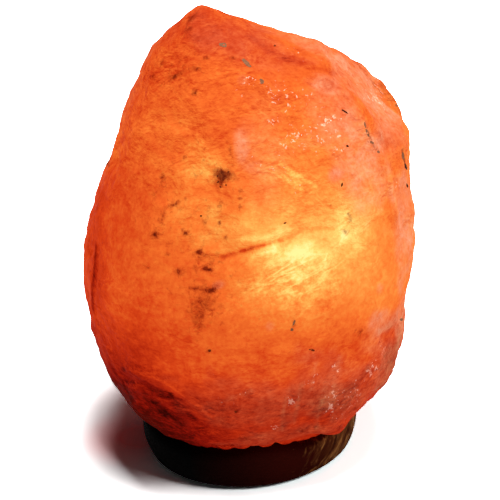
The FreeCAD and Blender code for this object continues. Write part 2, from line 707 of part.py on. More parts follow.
def make_holder_cap():
    """The cap under the plate, with a neck through it and a collar for the cord."""
    inner, neck_inner = f"({CAP_RADIUS} - cap_wall)", f"({CAP_NECK_RADIUS} - cap_wall)"
    neck_top, under_plate = f"({PLATE_BOTTOM} + neck_length)", f"({PLATE_BOTTOM} - cap_wall)"
    body = turned("holder_cap", [
        ("0", CAP_BOTTOM),
        (f"({CAP_RADIUS} - cap_chamfer)", CAP_BOTTOM),
        (CAP_RADIUS, f"({CAP_BOTTOM} + cap_chamfer)"),
        (CAP_RADIUS, PLATE_BOTTOM),
        (CAP_NECK_RADIUS, PLATE_BOTTOM),
        (CAP_NECK_RADIUS, neck_top),
        (neck_inner, neck_top),
        (neck_inner, under_plate),
        (inner, under_plate),
        (inner, f"({CAP_BOTTOM} + cap_wall + cap_chamfer / 2)"),
        (f"({inner} - cap_chamfer / 2)", f"({CAP_BOTTOM} + cap_wall)"),
        ("0", f"({CAP_BOTTOM} + cap_wall)"),
    ])
    collar = new_sketch(body, "XZ_Plane", f"-{COLLAR_END}")
    draw_circle(collar, COLLAR_RADIUS, "0", CORD_HEIGHT)
    add_feature(body, "Pad", collar, "collar_length + cap_wall")
    hole = new_sketch(body, "XZ_Plane", f"-{COLLAR_END}")
    draw_circle(hole, "cord_radius", "0", CORD_HEIGHT)
    add_feature(body, "Pocket", hole, "collar_length + cap_wall", back=True)


def make_thread_shell():
    """The brass shell that takes the bulb's cap, flanged on the socket's floor."""
    foot_inner, foot_top = f"({SHELL_RADIUS} - shell_foot_width)", f"({SOCKET_FLOOR} + shell_wall)"
    rim = f"({HOLDER_TOP} - shell_inset)"
    turned("thread_shell", [
        (foot_inner, SOCKET_FLOOR),
        (f"({SHELL_OUTER} + shell_flange)", SOCKET_FLOOR),
        (f"({SHELL_OUTER} + shell_flange)", foot_top),
        (SHELL_OUTER, foot_top),
        (SHELL_OUTER, rim),
        (SHELL_RADIUS, rim),
        (SHELL_RADIUS, foot_top),
        (foot_inner, foot_top),
    ])


def make_contacts():
    """The centre contact and the neutral pin, through the socket floor to their terminals."""
    turned("centre_contact", [
        ("0", TERMINAL_TOP),
        ("contact_pin_radius", TERMINAL_TOP),
        ("contact_pin_radius", SOCKET_FLOOR),
        ("contact_radius", SOCKET_FLOOR),
        ("contact_radius", CONTACT_TOP),
        ("0", CONTACT_TOP),
    ])
    body = new_body("neutral_contact")
    sketch = new_sketch(body, "XY_Plane", TERMINAL_TOP)
    draw_circle(sketch, "contact_pin_radius", NEUTRAL_OFFSET)
    add_feature(body, "Pad", sketch, f"({SOCKET_FLOOR} - {TERMINAL_TOP})")


def make_terminals():
    """Two terminal blocks under the contact pins, each with a clamping screw."""
    blocks = new_body("terminal_blocks")
    sketch = new_sketch(blocks, "XY_Plane", TERMINAL_BOTTOM)
    half = "(terminal_width / 2)"
    near, far = f"({NEUTRAL_OFFSET} - {half})", f"({NEUTRAL_OFFSET} + {half})"
    draw_box(sketch, f"-({half} + terminal_tail)", half, f"-{half}", half)
    draw_box(sketch, near, far, f"-{half}", half)
    add_feature(blocks, "Pad", sketch, "terminal_height")
    bores = new_sketch(blocks, "XZ_Plane", half)
    middle = f"({TERMINAL_BOTTOM} + terminal_height / 2)"
    for across in ("-terminal_tail / 2", NEUTRAL_OFFSET):
        draw_circle(bores, "terminal_screw_radius + slip", across, middle)
    add_feature(blocks, "Pocket", bores, half)
    screws = new_body("terminal_screws")
    shanks = new_sketch(screws, "XZ_Plane", f"{half} + terminal_screw_stand")
    for across in ("-terminal_tail / 2", NEUTRAL_OFFSET):
        draw_circle(shanks, "terminal_screw_radius", across, middle)
    add_feature(screws, "Pad", shanks, f"{half} + terminal_screw_stand", back=True)


# ---- bulb ----------------------------------------------------------------------------------


def make_bulb_glass():
    """Tubular glass with a domed top and a neck that sits in the cap."""
    inner = "(bulb_radius - glass_wall)"
    shoulder = f"({CAP_END} + bulb_radius)"
    dome = f"({BULB_TOP} - bulb_radius)"
    turned("bulb_glass", [
        (f"({NECK_RADIUS} - glass_wall)", GLASS_START),
        (NECK_RADIUS, GLASS_START),
        (NECK_RADIUS, NECK_TOP),
        ("bulb_radius", shoulder),
        ("bulb_radius", dome, "bulb_radius"),
        ("0", BULB_TOP),
        ("0", f"({BULB_TOP} - glass_wall)", f"-{inner}"),
        (inner, dome),
        (inner, f"({shoulder} + glass_wall / 2)"),
        (f"({NECK_RADIUS} - glass_wall)", f"({NECK_TOP} + glass_wall / 2)"),
    ])


def make_bulb_cap():
    """The screw cap with its flared rim, the black glass under it and the tip contact."""
    inner = "(bulb_cap_radius - bulb_cap_wall)"
    turned("bulb_cap", [
        (inner, CAP_START),
        ("bulb_cap_radius", CAP_START),
        ("bulb_cap_radius", FLARE_START),
        ("bulb_cap_radius + bulb_cap_flare", CAP_END),
        (f"{inner} + bulb_cap_flare", CAP_END),
        (inner, FLARE_START),
    ])
    turned("bulb_insulator", [
        ("0", TIP_TOP),
        ("insulator_radius", TIP_TOP),
        ("bulb_cap_radius", CAP_START),
        ("0", CAP_START),
    ])
    turned("bulb_tip_contact", [
        ("0", TIP),
        ("bulb_tip_flat_radius", TIP),
        ("bulb_tip_radius", TIP_TOP),
        ("0", TIP_TOP),
    ])


def make_bulb_inside():
    """The glass stem, the two lead wires and the filament between them."""
    foot_radius = f"({NECK_RADIUS} - glass_wall - seat)"
    turned("bulb_stem", [
        ("0", GLASS_START),
        (foot_radius, GLASS_START),
        (foot_radius, f"({GLASS_START} + stem_foot_height)"),
        ("stem_radius", f"({GLASS_START} + stem_flare_height)"),
        ("stem_radius", STEM_TOP),
        ("0", STEM_TOP),
    ])
    foot = size("stem_radius") - size("lead_radius") - size("slip")
    low = measure(doc.bulb_stem, STEM_TOP) + size("seat")
    high = measure(doc.bulb_stem, FILAMENT_HEIGHT)
    span = measure(doc.bulb_stem, FILAMENT_REACH)
    wires = [
        bar(Vector(side * foot, 0, low), Vector(side * span, 0, high), size("lead_radius"))
        for side in (-1, 1)
    ]
    add_shape("lead_wires", Part.makeCompound(wires))
    rise = 2 * size("filament_radius") + size("lead_radius")
    middle = Vector(0, 0, high + span / 3 + rise)
    ends = [Vector(side * span, 0, high + rise - size("lead_radius")) for side in (-1, 1)]
    path = Part.Wire(Part.Arc(ends[0], middle, ends[1]).toShape())
    start = path.Edges[0].tangentAt(path.Edges[0].FirstParameter)
    ring = Part.Wire(Part.makeCircle(size("filament_radius"), ends[0], start))
    add_shape("filament", path.makePipeShell([ring], True, False))


def bar(start, end, radius):
    """A straight round bar between two points."""
    return Part.makeCylinder(radius, end.sub(start).Length, start, end.sub(start))


def add_shape(label, shape):
    """A sub-part whose shape is made here."""
    part = doc.addObject("Part::Feature", label)
    part.Label = label
    part.Shape = shape
    parts.append(part)


# ---- build, check and write ----------------------------------------------------------------


def check_and_write():
    """Stop on any failed object, then write each sub-part under its label."""
    doc.recompute()
    for item in doc.Objects:
        failed = {"Invalid", "Error"} & set(item.State)
        if failed:
            raise RuntimeError(f"{item.Name} is {item.State}")
    for part in parts:
        if part.Shape.isNull() or not part.Shape.isValid():
            raise RuntimeError(f"{part.Label} has no valid shape")
    os.makedirs("parts", exist_ok=True)
    for part in parts:
        part.Shape.exportStep(f"parts/{part.Label}.step")
        print(part.Label, len(part.Shape.Solids), "solids", round(part.Shape.Volume, 1), "mm3")


fill_sheet()
make_crystal()
make_wood_base()
make_felt_ring()
make_crystal_screws()
make_anchor_plugs()
make_clip_plate()
make_clip_roots()
make_clip_rivets()
for clip_number in range(1, int(size("clip_count")) + 1):
    make_spring_clip(clip_number)
make_holder_body()
make_holder_cap()
make_thread_shell()
make_contacts()
make_terminals()
make_bulb_glass()
make_bulb_cap()
make_bulb_inside()
check_and_write()
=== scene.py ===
"""Looks of the salt crystal lamp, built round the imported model.

Metres, +Z up, front towards -Y, in the model's own frame. The crystal is rebuilt as a fine mesh
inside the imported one: hewn, weathered, and lit from inside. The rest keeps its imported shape.
"""

import math

import bmesh
import bpy
import numpy as np
from mathutils import Matrix, Vector
from mathutils.bvhtree import BVHTree
from mathutils.kdtree import KDTree


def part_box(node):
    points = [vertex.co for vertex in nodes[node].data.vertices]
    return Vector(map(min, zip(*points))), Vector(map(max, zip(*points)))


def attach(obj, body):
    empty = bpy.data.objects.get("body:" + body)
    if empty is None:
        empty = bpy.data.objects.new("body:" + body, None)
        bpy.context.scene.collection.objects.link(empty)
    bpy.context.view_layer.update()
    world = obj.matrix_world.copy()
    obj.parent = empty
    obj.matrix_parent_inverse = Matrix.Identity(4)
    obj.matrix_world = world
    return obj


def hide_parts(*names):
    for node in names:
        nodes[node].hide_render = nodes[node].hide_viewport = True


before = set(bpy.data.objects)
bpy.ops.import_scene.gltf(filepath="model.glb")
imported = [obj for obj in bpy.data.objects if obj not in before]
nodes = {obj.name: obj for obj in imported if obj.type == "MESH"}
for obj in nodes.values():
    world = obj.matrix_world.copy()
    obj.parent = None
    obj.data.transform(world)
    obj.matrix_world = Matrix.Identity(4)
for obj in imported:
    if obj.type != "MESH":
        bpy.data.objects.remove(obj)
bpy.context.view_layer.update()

MM = 0.001

# ---- the camera of the photograph ----

PICTURE = 500  # width and height in pixels
FOCAL = 1886.0  # focal length in pixels
TARGET = Vector((0, 0, 110 * MM))
TARGET_PIXEL = (235.5, 237.4)
DISTANCE = 0.9
ELEVATION = math.radians(24)
ROLL = math.radians(4.5)
SENSOR = 36.0
NEAR_CLIP = 0.05
PIXEL = DISTANCE / FOCAL  # size of a pixel at the target, in metres


class Eye:
    """A place that the lamp is seen from: the photograph's camera, or the same turned about +Z."""

    def __init__(self, turn=0.0):
        back = Vector((0, -math.cos(ELEVATION), math.sin(ELEVATION)))
        level_right = Vector((1, 0, 0))
        level_up = back.cross(level_right)
        right = math.cos(ROLL) * level_right - math.sin(ROLL) * level_up
        up = math.cos(ROLL) * level_up + math.sin(ROLL) * level_right
        spin = Matrix.Rotation(turn, 3, "Z")
        self.right, self.up, self.back = (np.array(spin @ axis) for axis in (right, up, back))
        self.place = np.array(TARGET) + self.back * DISTANCE

    def ray(self, x, y):
        """The direction that a pixel looks in."""
        across = (x - TARGET_PIXEL[0]) / FOCAL
        down = (y - TARGET_PIXEL[1]) / FOCAL
        return Vector(self.right * across - self.up * down - self.back).normalized()

    def hit(self, tree, x, y):
        """Where the ray of a pixel meets a surface, and the surface's normal there."""
        return tree.ray_cast(Vector(self.place), self.ray(x, y))[:2]

    def spot(self, tree, x, y):
        """The surface's point at a pixel, or the nearest one where the pixel is past the edge."""
        found = self.hit(tree, x, y)[0]
        if found is None:
            beside = Vector(self.place) + self.ray(x, y) * DISTANCE
            found = tree.find_nearest(beside)[0]
        return np.array(found)


FRONT = Eye()


def make_camera():
    """The camera, with a small shift for the photograph's framing."""
    data = bpy.data.cameras.new("camera")
    data.sensor_width = SENSOR
    data.lens = FOCAL / PICTURE * SENSOR
    data.shift_x = (PICTURE / 2 - TARGET_PIXEL[0]) / PICTURE
    data.shift_y = (TARGET_PIXEL[1] - PICTURE / 2) / PICTURE
    data.clip_start = NEAR_CLIP
    camera = new_object("camera", data)
    turn = Matrix((FRONT.right, FRONT.up, FRONT.back)).transposed().to_4x4()
    camera.matrix_world = Matrix.Translation(FRONT.place) @ turn
    bpy.context.scene.camera = camera


# ---- objects and meshes ----


def new_object(name, data):
    """An object in the scene."""
    item = bpy.data.objects.new(name, data)
    bpy.context.scene.collection.objects.link(item)
    return item


def mesh_from(name, work):
    """A mesh of what a bmesh holds, which is freed."""
    mesh = bpy.data.meshes.new(name)
    work.to_mesh(mesh)
    work.free()
    return mesh


def rows_of(items, key, width, kind=float):
    """What a mesh's items hold under a key, as rows of numbers."""
    rows = np.zeros(len(items) * width, kind)
    items.foreach_get(key, rows)
    return rows.reshape(-1, width)


def points_of(mesh):
    """The vertices of a mesh."""
    return rows_of(mesh.vertices, "co", 3)


def move_points(mesh, points):
    """Put a mesh's vertices at new points."""
    mesh.vertices.foreach_set("co", points.ravel())
    mesh.update()


def surface_tree(mesh):
    """A tree to cast rays on a mesh."""
    return BVHTree.FromPolygons([v.co for v in mesh.vertices], [p.vertices for p in mesh.polygons])


def apply_modifiers(item):
    """Bake an object's modifiers into its mesh."""
    evaluated = item.evaluated_get(bpy.context.evaluated_depsgraph_get())
    mesh = bpy.data.meshes.new_from_object(evaluated)
    item.modifiers.clear()
    item.data = mesh


def soften(points, edges, rounds):
    """Points drawn towards the mean of their neighbours, so many times."""
    start, end = np.concatenate([edges, edges[:, ::-1]]).T
    count = np.bincount(start)[:, None]
    for _ in range(rounds):
        total = [np.bincount(start, column) for column in points[end].T]
        points = points + 0.5 * (np.stack(total, axis=1) / count - points)
    return points


# ---- noise on points, seeded ----

LATTICE = 32  # the noise repeats after so many cells
FAR_AWAY = 9.0  # in cells, further than any seed point


def value_noise(points, scale, seed):
    """Smooth noise from -1 to 1, with bumps of about the scale."""
    table = np.random.default_rng(seed).uniform(-1, 1, (LATTICE,) * 3)
    spot = points / scale
    low = np.floor(spot).astype(int)
    share = spot - low
    share = share * share * (3 - 2 * share)
    total = np.zeros(len(points))
    for corner in np.ndindex(2, 2, 2):
        cell = (low + corner) % LATTICE
        weight = np.prod(np.where(corner, share, 1 - share), axis=1)
        total += weight * table[cell[:, 0], cell[:, 1], cell[:, 2]]
    return total


def layered_noise(points, scale, seed, layers=4, fade=0.5):
    """Several layers of noise, each half the scale of the last."""
    total, weight = np.zeros(len(points)), 1.0
    for layer in range(layers):
        total += weight * value_noise(points, scale / 2**layer, seed + layer)
        weight *= fade
    return total


def cell_distances(points, scale, seed):
    """Distances to the nearest and the second nearest seed point, as shares of the scale."""
    table = np.random.default_rng(seed).uniform(0, 1, (LATTICE,) * 3 + (3,))
    spot = points / scale
    low = np.floor(spot).astype(int)
    first = np.full(len(points), FAR_AWAY)
    second = first.copy()
    for step in np.ndindex(3, 3, 3):
        cell = low + np.array(step) - 1
        key = cell % LATTICE
        seed_point = cell + table[key[:, 0], key[:, 1], key[:, 2]]
        away = np.linalg.norm(spot - seed_point, axis=1)
        second = np.minimum(second, np.maximum(first, away))
        first = np.minimum(first, away)
    return first, second


def smooth_step(low, high, value):
    """0 below low, 1 above high, and smooth between."""
    share = np.clip((value - low) / (high - low), 0, 1)
    return share * share * (3 - 2 * share)


# ---- marks, placed where the photograph shows them ----

RAGGED, RAGGED_SIZE, RAGGED_SEED = 0.3, 8 * MM, 71  # how noise shifts the rim of a mark
MARK_DEPTH = 12  # pixels that a mark reaches into the surface, besides twice its size
MARK_END = 3  # a mark is nil at this many times its size
STROKE_END = 4  # and a stroke at this many times its half width


def with_tilt(mark):
    """A mark's six values: its tilt is 0 where none is given."""
    return (*mark, 0)[:6]


def patch(points, tree, mark, sharpness):
    """How much of a mark reaches each point: its amount at its middle, fading outwards."""
    x, y, half_width, half_height, amount, tilt = with_tilt(mark)
    middle = FRONT.spot(tree, x, y)
    pixel = np.linalg.norm(FRONT.place - middle) / FOCAL
    turn = math.radians(tilt)
    away = (points - middle) / pixel
    along = away @ (FRONT.right * math.cos(turn) + FRONT.up * math.sin(turn)) / half_width
    across = away @ (FRONT.up * math.cos(turn) - FRONT.right * math.sin(turn)) / half_height
    deep = away @ FRONT.back / (2 * max(half_width, half_height) + MARK_DEPTH)
    far = np.sqrt(along**2 + across**2 + deep**2)
    near = far < MARK_END
    ragged = 1 + RAGGED * layered_noise(points[near], RAGGED_SIZE, RAGGED_SEED, 2)
    weight = np.zeros(len(points))
    weight[near] = amount * np.exp(-((far[near] * ragged) ** sharpness))
    return weight


def stroke(points, tree, half_width, amount, path):
    """How much of a stroke along pixels reaches each point."""
    middles = []
    for (x, y), (next_x, next_y) in zip(path, path[1:]):
        steps = int(math.hypot(next_x - x, next_y - y)) + 1
        for share in np.arange(steps) / steps:
            middles.append(FRONT.spot(tree, x + (next_x - x) * share, y + (next_y - y) * share))
    nearest = KDTree(len(middles))
    for index, middle in enumerate(middles):
        nearest.insert(middle, index)
    nearest.balance()
    reach = half_width * PIXEL
    low = np.min(middles, axis=0) - STROKE_END * reach
    high = np.max(middles, axis=0) + STROKE_END * reach
    weight = np.zeros(len(points))
    for index in np.flatnonzero(np.all((points > low) & (points < high), axis=1)):
        weight[index] = amount * math.exp(-((nearest.find(points[index])[2] / reach) ** 2))
    return weight


def all_marks(points, tree, marks, sharpness=2):
    """The sum of marks."""
    return sum(patch(points, tree, mark, sharpness) for mark in marks.values())


def all_strokes(points, tree, strokes):
    """The sum of strokes."""
    return sum(stroke(points, tree, *line) for line in strokes.values())


# Pixels along lines that more than one stroke follows
TOP_CREASE = ((253, 39), (276, 54), (312, 67), (336, 73))
UPPER_BRANCH = ((287, 238), (301, 231), (318, 228), (336, 229))
CREASE_TAIL = ((198, 253), (212, 255), (226, 256), (236, 254))
LEDGE = ((128, 369), (140, 373), (153, 377), (170, 386), (186, 398), (214, 419))
LOBE_GROOVE = ((96, 246), (95, 268), (92, 290), (93, 312))
RIGHT_RIDGE = ((346, 92), (360, 114), (367, 133), (382, 150), (392, 182), (398, 215))

# Marks: pixel x, pixel y, half width, half height, amount, then a tilt in degrees if any
# Strokes: half width in pixels, amount, pixels along it

DENTS = dict(  # millimetres outwards
    peak_left=(175, 24, 14, 20, -1.2, 40),
    shoulder=(300, 42, 34, 10, -1.4, -24),
    right_shoulder=(352, 60, 26, 14, 2.6, -36),
    upper_right_edge=(404, 134, 12, 30, 2.8, 15),
    left_upper_side=(124, 120, 18, 40, 1.2, 20),
    left_notch=(113, 161, 4, 8, -3, -20),
    left_side=(92, 262, 16, 70, 1),
    left_step=(89, 252, 4, 5, -2),
    right_notch=(410, 227, 5, 6, -1.6),
    right_bulge=(412, 212, 5, 7, 1.2),
    upper_right_hollow=(388, 130, 16, 20, -1.6, -30),
    middle_right_hollow=(368, 178, 20, 26, -1),
    lower_left_hollow=(164, 408, 26, 12, -0.8, -20),
    lower_right_corner=(390, 382, 12, 14, 3),
    foot_right=(336, 426, 24, 9, 4.5, -25),
    lower_right_side=(402, 334, 9, 26, 2.6),
)
GROOVES = dict(  # millimetres outwards
    lobe_groove=(4, -1.6, LOBE_GROOVE),
    top_crease=(5, -1.2, TOP_CREASE),
    main_crease=(4, -1, ((200, 264), (221, 258), (243, 254), (266, 244), (287, 238))),
    upper_branch=(5, -0.6, UPPER_BRANCH),
    right_ridge=(6, 1.3, RIGHT_RIDGE),
    low_right_ridge=(6, 1, ((370, 326), (377, 340), (382, 355), (372, 392), (352, 412))),
    lower_ledge=(5, 1.2, LEDGE),
    below_the_ledge=(6, -1.2, ((122, 379), (148, 386), (168, 398), (186, 412), (206, 430))),
    shoulder_rim=(8, 1.8, ((382, 84), (389, 92), (397, 105), (403, 120))),
    left_wrinkle=(3, 0.7, ((104, 308), (118, 311))),
)
GLOW_MARKS = dict(
    hot_core=(296, 250, 21, 11, 0.19, 15),
    left_limb=(98, 250, 14, 80, -0.07),
    below_the_veins=(240, 296, 26, 20, 0.05),
    below_the_core=(318, 298, 20, 14, -0.04),
    grey_smear=(219, 285, 6, 4, -0.07, 15),
    violet_patch=(327, 84, 17, 11, -0.05, -15),
    round_spot=(336, 175, 8, 8, -0.07),
    round_it=(300, 254, 44, 26, 0.06, 10),
    hot_arm=(340, 220, 16, 26, 0.1),
    right_of_the_arm=(372, 212, 18, 30, 0.06),
    above_the_crease=(248, 222, 30, 18, 0.11),
    upper_veil=(284, 176, 30, 12, 0.04, -30),
    left_yellow=(206, 165, 26, 22, 0.12),
    left_middle_yellow=(190, 205, 30, 26, 0.09),
    left_of_the_core=(216, 240, 26, 16, 0.06),
    upper_left=(176, 118, 36, 34, 0.07, 30),
    left_brown=(206, 290, 18, 36, -0.02),
    under_the_crease=(214, 266, 20, 7, -0.03, 10),
    low_right=(330, 345, 60, 30, -0.13),
    lowest_right=(318, 392, 48, 26, -0.15),
    right_end=(346, 304, 26, 16, -0.07),
    deep_right=(388, 138, 18, 22, -0.07, -30),
    top=(226, 36, 70, 26, -0.12, -20),
    top_left=(180, 56, 40, 36, -0.02),
    low_left=(136, 356, 40, 44, -0.09),
    foot_left=(160, 405, 34, 18, -0.04, -30),
    frosted_side=(390, 350, 16, 40, -0.12),
    low_middle=(240, 410, 60, 24, -0.05),
    left_of_the_top=(236, 66, 16, 16, -0.03),
    left_low=(164, 314, 44, 44, 0.02),
    left_side=(150, 262, 50, 70, 0.015),
    by_the_patch=(352, 332, 16, 14, -0.04),
    smear_by_the_foot=(292, 392, 22, 12, 0.04),
    middle_column=(262, 160, 26, 60, 0.04),
    salmon_face=(358, 180, 24, 60, 0.03, 10),
    under_the_core=(279, 262, 11, 6, -0.06),
    over_the_veil=(305, 188, 13, 10, -0.05),
    by_the_crease=(257, 235, 10, 9, 0.05),
    above_the_core=(280, 213, 13, 10, 0.05),
    right_of_the_core=(352, 248, 10, 20, 0.04),
    top_left_edge=(160, 58, 10, 20, 0.07, 30),
    right_foot=(376, 344, 12, 16, 0.03),
)
GLOW_STROKES = dict(
    crease_left=(2.2, -0.1, ((222, 257), (236, 253), (246, 250))),
    crease_middle=(2, -0.18, ((242, 251), (252, 248), (264, 245))),
    crease_right=(1.5, -0.16, ((264, 245), (274, 242), (284, 240))),
    under_the_ledge=(5, -0.07, ((132, 374), (150, 386), (168, 397), (184, 409), (196, 421))),
    crease_tail=(2.4, -0.06, CREASE_TAIL),
    upper_branch=(2, -0.08, UPPER_BRANCH),
    above_the_crease=(2.6, 0.12, ((243, 239), (256, 239), (268, 237), (280, 232))),
    below_the_crease=(3.5, 0.07, ((252, 256), (264, 252), (276, 248))),
    streak=(1.4, 0.13, ((280, 163), (290, 170), (302, 178), (317, 187))),
    second_streak=(1.4, 0.08, ((257, 169), (272, 172), (288, 181), (305, 191))),
    top_crease=(4, -0.08, TOP_CREASE),
    lobe_groove=(3, -0.1, LOBE_GROOVE),
    ledge=(1.4, 0.09, LEDGE),
    right_ridge=(2.5, 0.05, RIGHT_RIDGE[1:]),
)
# Frosted salt, with painted highlights on the pale faces to the right and at the top
FROST_AND_HIGHLIGHT_MARKS = dict(
    violet_patch=(327, 84, 17, 11, 0.6, -15),
    round_spot=(336, 175, 8, 7, 0.65),
    upright_smear=(241, 150, 7, 17, 0.6, 3),
    right_of_the_smear=(252, 168, 12, 7, 0.2),
    pale_slope=(334, 112, 34, 26, 0.45, -30),
    salmon_face=(362, 172, 28, 38, 0.7, 10),
    right_top_face=(358, 82, 42, 24, 0.75, -50),
    upper_slope=(388, 128, 22, 34, 0.45, 10),
    top_band=(316, 46, 50, 8, 0.5, -22),
    top=(236, 42, 60, 26, 0.15, -20),
    middle=(264, 150, 24, 60, 0.18),
    right_rim=(403, 226, 12, 60, 0.85),
    right_lower_patch=(383, 321, 16, 14, 0.95, 40),
    lower_rim=(401, 322, 9, 26, 1),
    below_the_patch=(376, 344, 14, 14, 0.4),
    violet_dot=(380, 289, 4, 6, 0.6),
    frosted_side=(388, 366, 16, 34, 0.6),
    by_the_smudges=(243, 80, 5, 5, 0.5),
    grey_smear=(219, 285, 6, 4, 0.6, 15),
    grey_spot=(270, 326, 4, 5, 0.4),
    lower_right=(340, 390, 52, 32, 0.3, -10),
    foot=(280, 436, 60, 10, 0.25, 10),
    low_middle=(256, 404, 66, 28, 0.22),
)
# Frost, with painted highlight, along strokes
FROST_AND_HIGHLIGHT_STROKES = dict(
    upright_streak=(3, 0.25, ((340, 357), (335, 378), (334, 397), (333, 420))),
    left_upright_streak=(2, 0.3, ((286, 398), (283, 414), (282, 432))),
    middle_upright_streak=(2, 0.35, ((302, 384), (298, 402), (294, 424))),
    upper_upright_streak=(2, 0.3, ((316, 364), (313, 376), (311, 390))),
    right_upright_streak=(2, 0.3, ((322, 400), (318, 416), (316, 430))),
    faint_streak=(2.5, 0.35, ((220, 402), (236, 397), (252, 391))),
    right_ridge=(3, 0.15, RIGHT_RIDGE[:-1]),
)
RIPPLE_MARKS = dict(
    round_the_hot_core=(292, 276, 40, 32, 1),
    above_it=(296, 178, 34, 12, 0.5, -30),
    hot_arm=(344, 225, 10, 24, 0.5),
    left=(205, 178, 30, 30, 0.2),
)
# Painted glints: where the salt sparkles, its colour and its glow are paler
SPARKLE_MARKS = dict(
    upper_middle=(288, 98, 36, 20, 0.5, -10),
    pale_slope=(328, 130, 30, 26, 0.42, -30),
    left_one=(272, 122, 8, 5, 0.7),
    right_face=(376, 96, 22, 32, 0.62, -40),
    middle=(290, 140, 28, 18, 0.38),
    top=(300, 54, 40, 8, 0.25, -20),
    streaks=(282, 176, 28, 10, 0.6, -30),
    by_the_smear=(261, 164, 4, 3, 0.9),
    right_rim=(398, 186, 6, 6, 0.6),
    white_chip=(383, 350, 4, 7, 1, 10),
    white_ring=(374, 368, 7, 9, 0.75),
    upright_streak=(339, 366, 5, 10, 0.6),
    upright_streak_low=(333, 402, 3, 24, 0.62),
    smear=(311, 382, 9, 6, 0.75),
    small_smear=(316, 374, 4, 2, 0.7),
    low_smear=(291, 402, 9, 8, 0.72, 20),
    low_spot=(274, 427, 6, 4, 0.7),
    low_right=(350, 396, 28, 22, 0.48),
    faint_streak=(236, 397, 20, 5, 0.55, 20),
    round_the_smudges=(246, 80, 12, 7, 0.6),
)
# Stains, with painted shade in and under the crease
STAIN_AND_SHADE_MARKS = dict(
    cluster_left=(219.5, 179, 6, 9, 0.62, 4),
    cluster_right=(227, 174, 6, 4, 0.4),
    cluster_shade=(226, 179, 12, 10, 0.3),
    cluster_tail=(241, 191, 5, 2, 0.65, 10),
    cluster_tail_dot=(240, 198.5, 3, 2.5, 0.75),
    cluster_tail_low=(240, 207, 2.5, 4, 0.5),
    under_the_cluster=(220.5, 203, 3, 4, 0.55),
    under_it=(223, 216, 2, 2, 0.5),
    low_one=(220, 223, 2, 2.5, 0.65),
    lowest_one=(226, 237, 2, 3, 0.5),
    by_the_black_dot=(205, 222, 3.5, 3, 0.45, -30),
    black_brown_spot=(195, 92, 3, 3, 1),
    upper_left_1=(163, 62, 4, 2.5, 0.6, 40),
    upper_left_2=(152, 76, 3, 3, 0.6),
    upper_left_3=(176, 76, 7, 2.5, 0.6, 30),
    upper_left_4=(197, 69, 4, 2.5, 0.6),
    upper_middle=(206, 58, 5, 2.5, 0.75),
    upper_right_one=(233, 58, 3, 2, 0.6),
    peak_smudge=(192, 18, 8, 3, 0.75, 50),
    peak_crumbs=(188, 29, 4, 5, 0.6),
    left_dot=(185, 157, 1.8, 3, 0.8),
    left_dot_2=(204.5, 159.5, 2.5, 1.5, 0.6),
    left_dot_3=(203.5, 149.5, 1.5, 2, 0.5),
    left_shade=(163, 178, 3.5, 8, 0.6),
    left_dash=(172, 205.5, 6, 2.5, 0.65, 30),
    left_crumbs=(163, 217, 2.5, 6, 0.5),
    left_black_one=(155, 234, 4, 3, 0.85),
    left_pair=(186, 233, 3.5, 3, 0.75),
    left_soft_one=(154, 195, 3, 4, 0.4),
    reddish=(199.5, 252, 3, 4, 0.65, -30),
    reddish_2=(166, 254, 4, 2.5, 0.5),
    dark_red_one=(207.5, 269.5, 5, 2.2, 1, -10),
    beside_it=(178, 272, 6, 3.5, 0.7, -40),
    left_low=(147, 267, 4, 2, 0.5, -20),
    middle_low=(231, 275, 3, 3, 0.5),
    brown_left_of_the_smear=(230, 152, 4, 13, 0.4, 8),
    middle_dot=(254, 162.5, 2, 2, 0.35),
    middle_dot_2=(254.5, 150.5, 1.5, 2, 0.35),
    # painted shade under the crease
    under_the_crease=(214, 263, 10, 3, 0.35, 10),
    network_top=(194, 288.5, 10, 2.5, 0.75),
    network_right=(212, 290, 8, 3, 0.65, 8),
    network=(204, 304, 15, 11, 0.3, 20),
    network_low=(197, 322, 9, 10, 0.45, 20),
    network_shade=(206, 304, 22, 26, 0.26),
    network_dot=(209, 351, 3, 3, 0.8),
    blotch_1=(156, 402, 7, 4, 0.85, -10),
    blotch_2=(164, 413, 6, 5, 0.9, -30),
    blotch_3=(176, 418, 8, 4, 0.85, -20),
    blotch_4=(171, 394, 6, 3, 0.8, -40),
    blotch_5=(124, 369, 4, 2.5, 0.8),
    blotch_6=(182, 427, 2.5, 5, 0.5),
    left_middle=(186, 215, 48, 60, 0.16),
    left_top=(180, 70, 40, 36, 0.18),
    red_spot=(359, 332, 5, 4, 0.6),
    low_red_spot=(302, 431, 4, 3, 0.7),
    lowest_red_spot=(242, 438, 8, 4, 0.6),
    low_brown=(236, 412, 3, 2, 0.7),
    # painted shade in the crease
    crease_middle=(250, 249, 6, 2, 0.35, 20),
    squiggle=(350, 218, 3, 8, 0.5, 20),
    squiggle_low=(345, 231, 2.5, 4, 0.5),
    right_grey=(294, 324, 3, 6, 0.5, -20),
)
# Stains, and painted shade in the crease and along the left groove, notch and rim
STAIN_AND_SHADE_STROKES = dict(
    # painted shade in the main crease
    main_crease=(1.8, 0.2, ((222, 257), (236, 253), (246, 250), (262, 246), (284, 240))),
    # painted shade in the crease's tail
    crease_tail=(2, 0.25, CREASE_TAIL[:-1]),
    right_grey_thread=(2, 0.5, ((365, 124), (368, 133), (372, 143), (379, 152))),
    rim_thread=(2.4, 0.8, ((402.6, 150), (404, 160), (406.2, 169))),
    # painted shade in the groove of the left lobe
    lobe_groove_shade=(1.6, 0.7, ((96, 247), (94, 270), (92, 290), (93, 312))),
    # painted shade in the left notch
    left_notch=(2, 0.9, ((111, 157), (109, 162), (109, 167))),
    # painted shade along the left rim
    left_rim_shade=(1.4, 0.6, ((104, 176), (102, 184), (99, 194))),
)
HOT_SPOTS = {  # name: (middle in mm, reach in mm, amount)
    "front": ((34, -62, 120), 38, 0.17),
    "right side": ((72, 12, 120), 40, 0.10),
    "back right": ((30, 66, 96), 42, 0.20),
    "back left": ((-40, 50, 128), 38, 0.14),
}
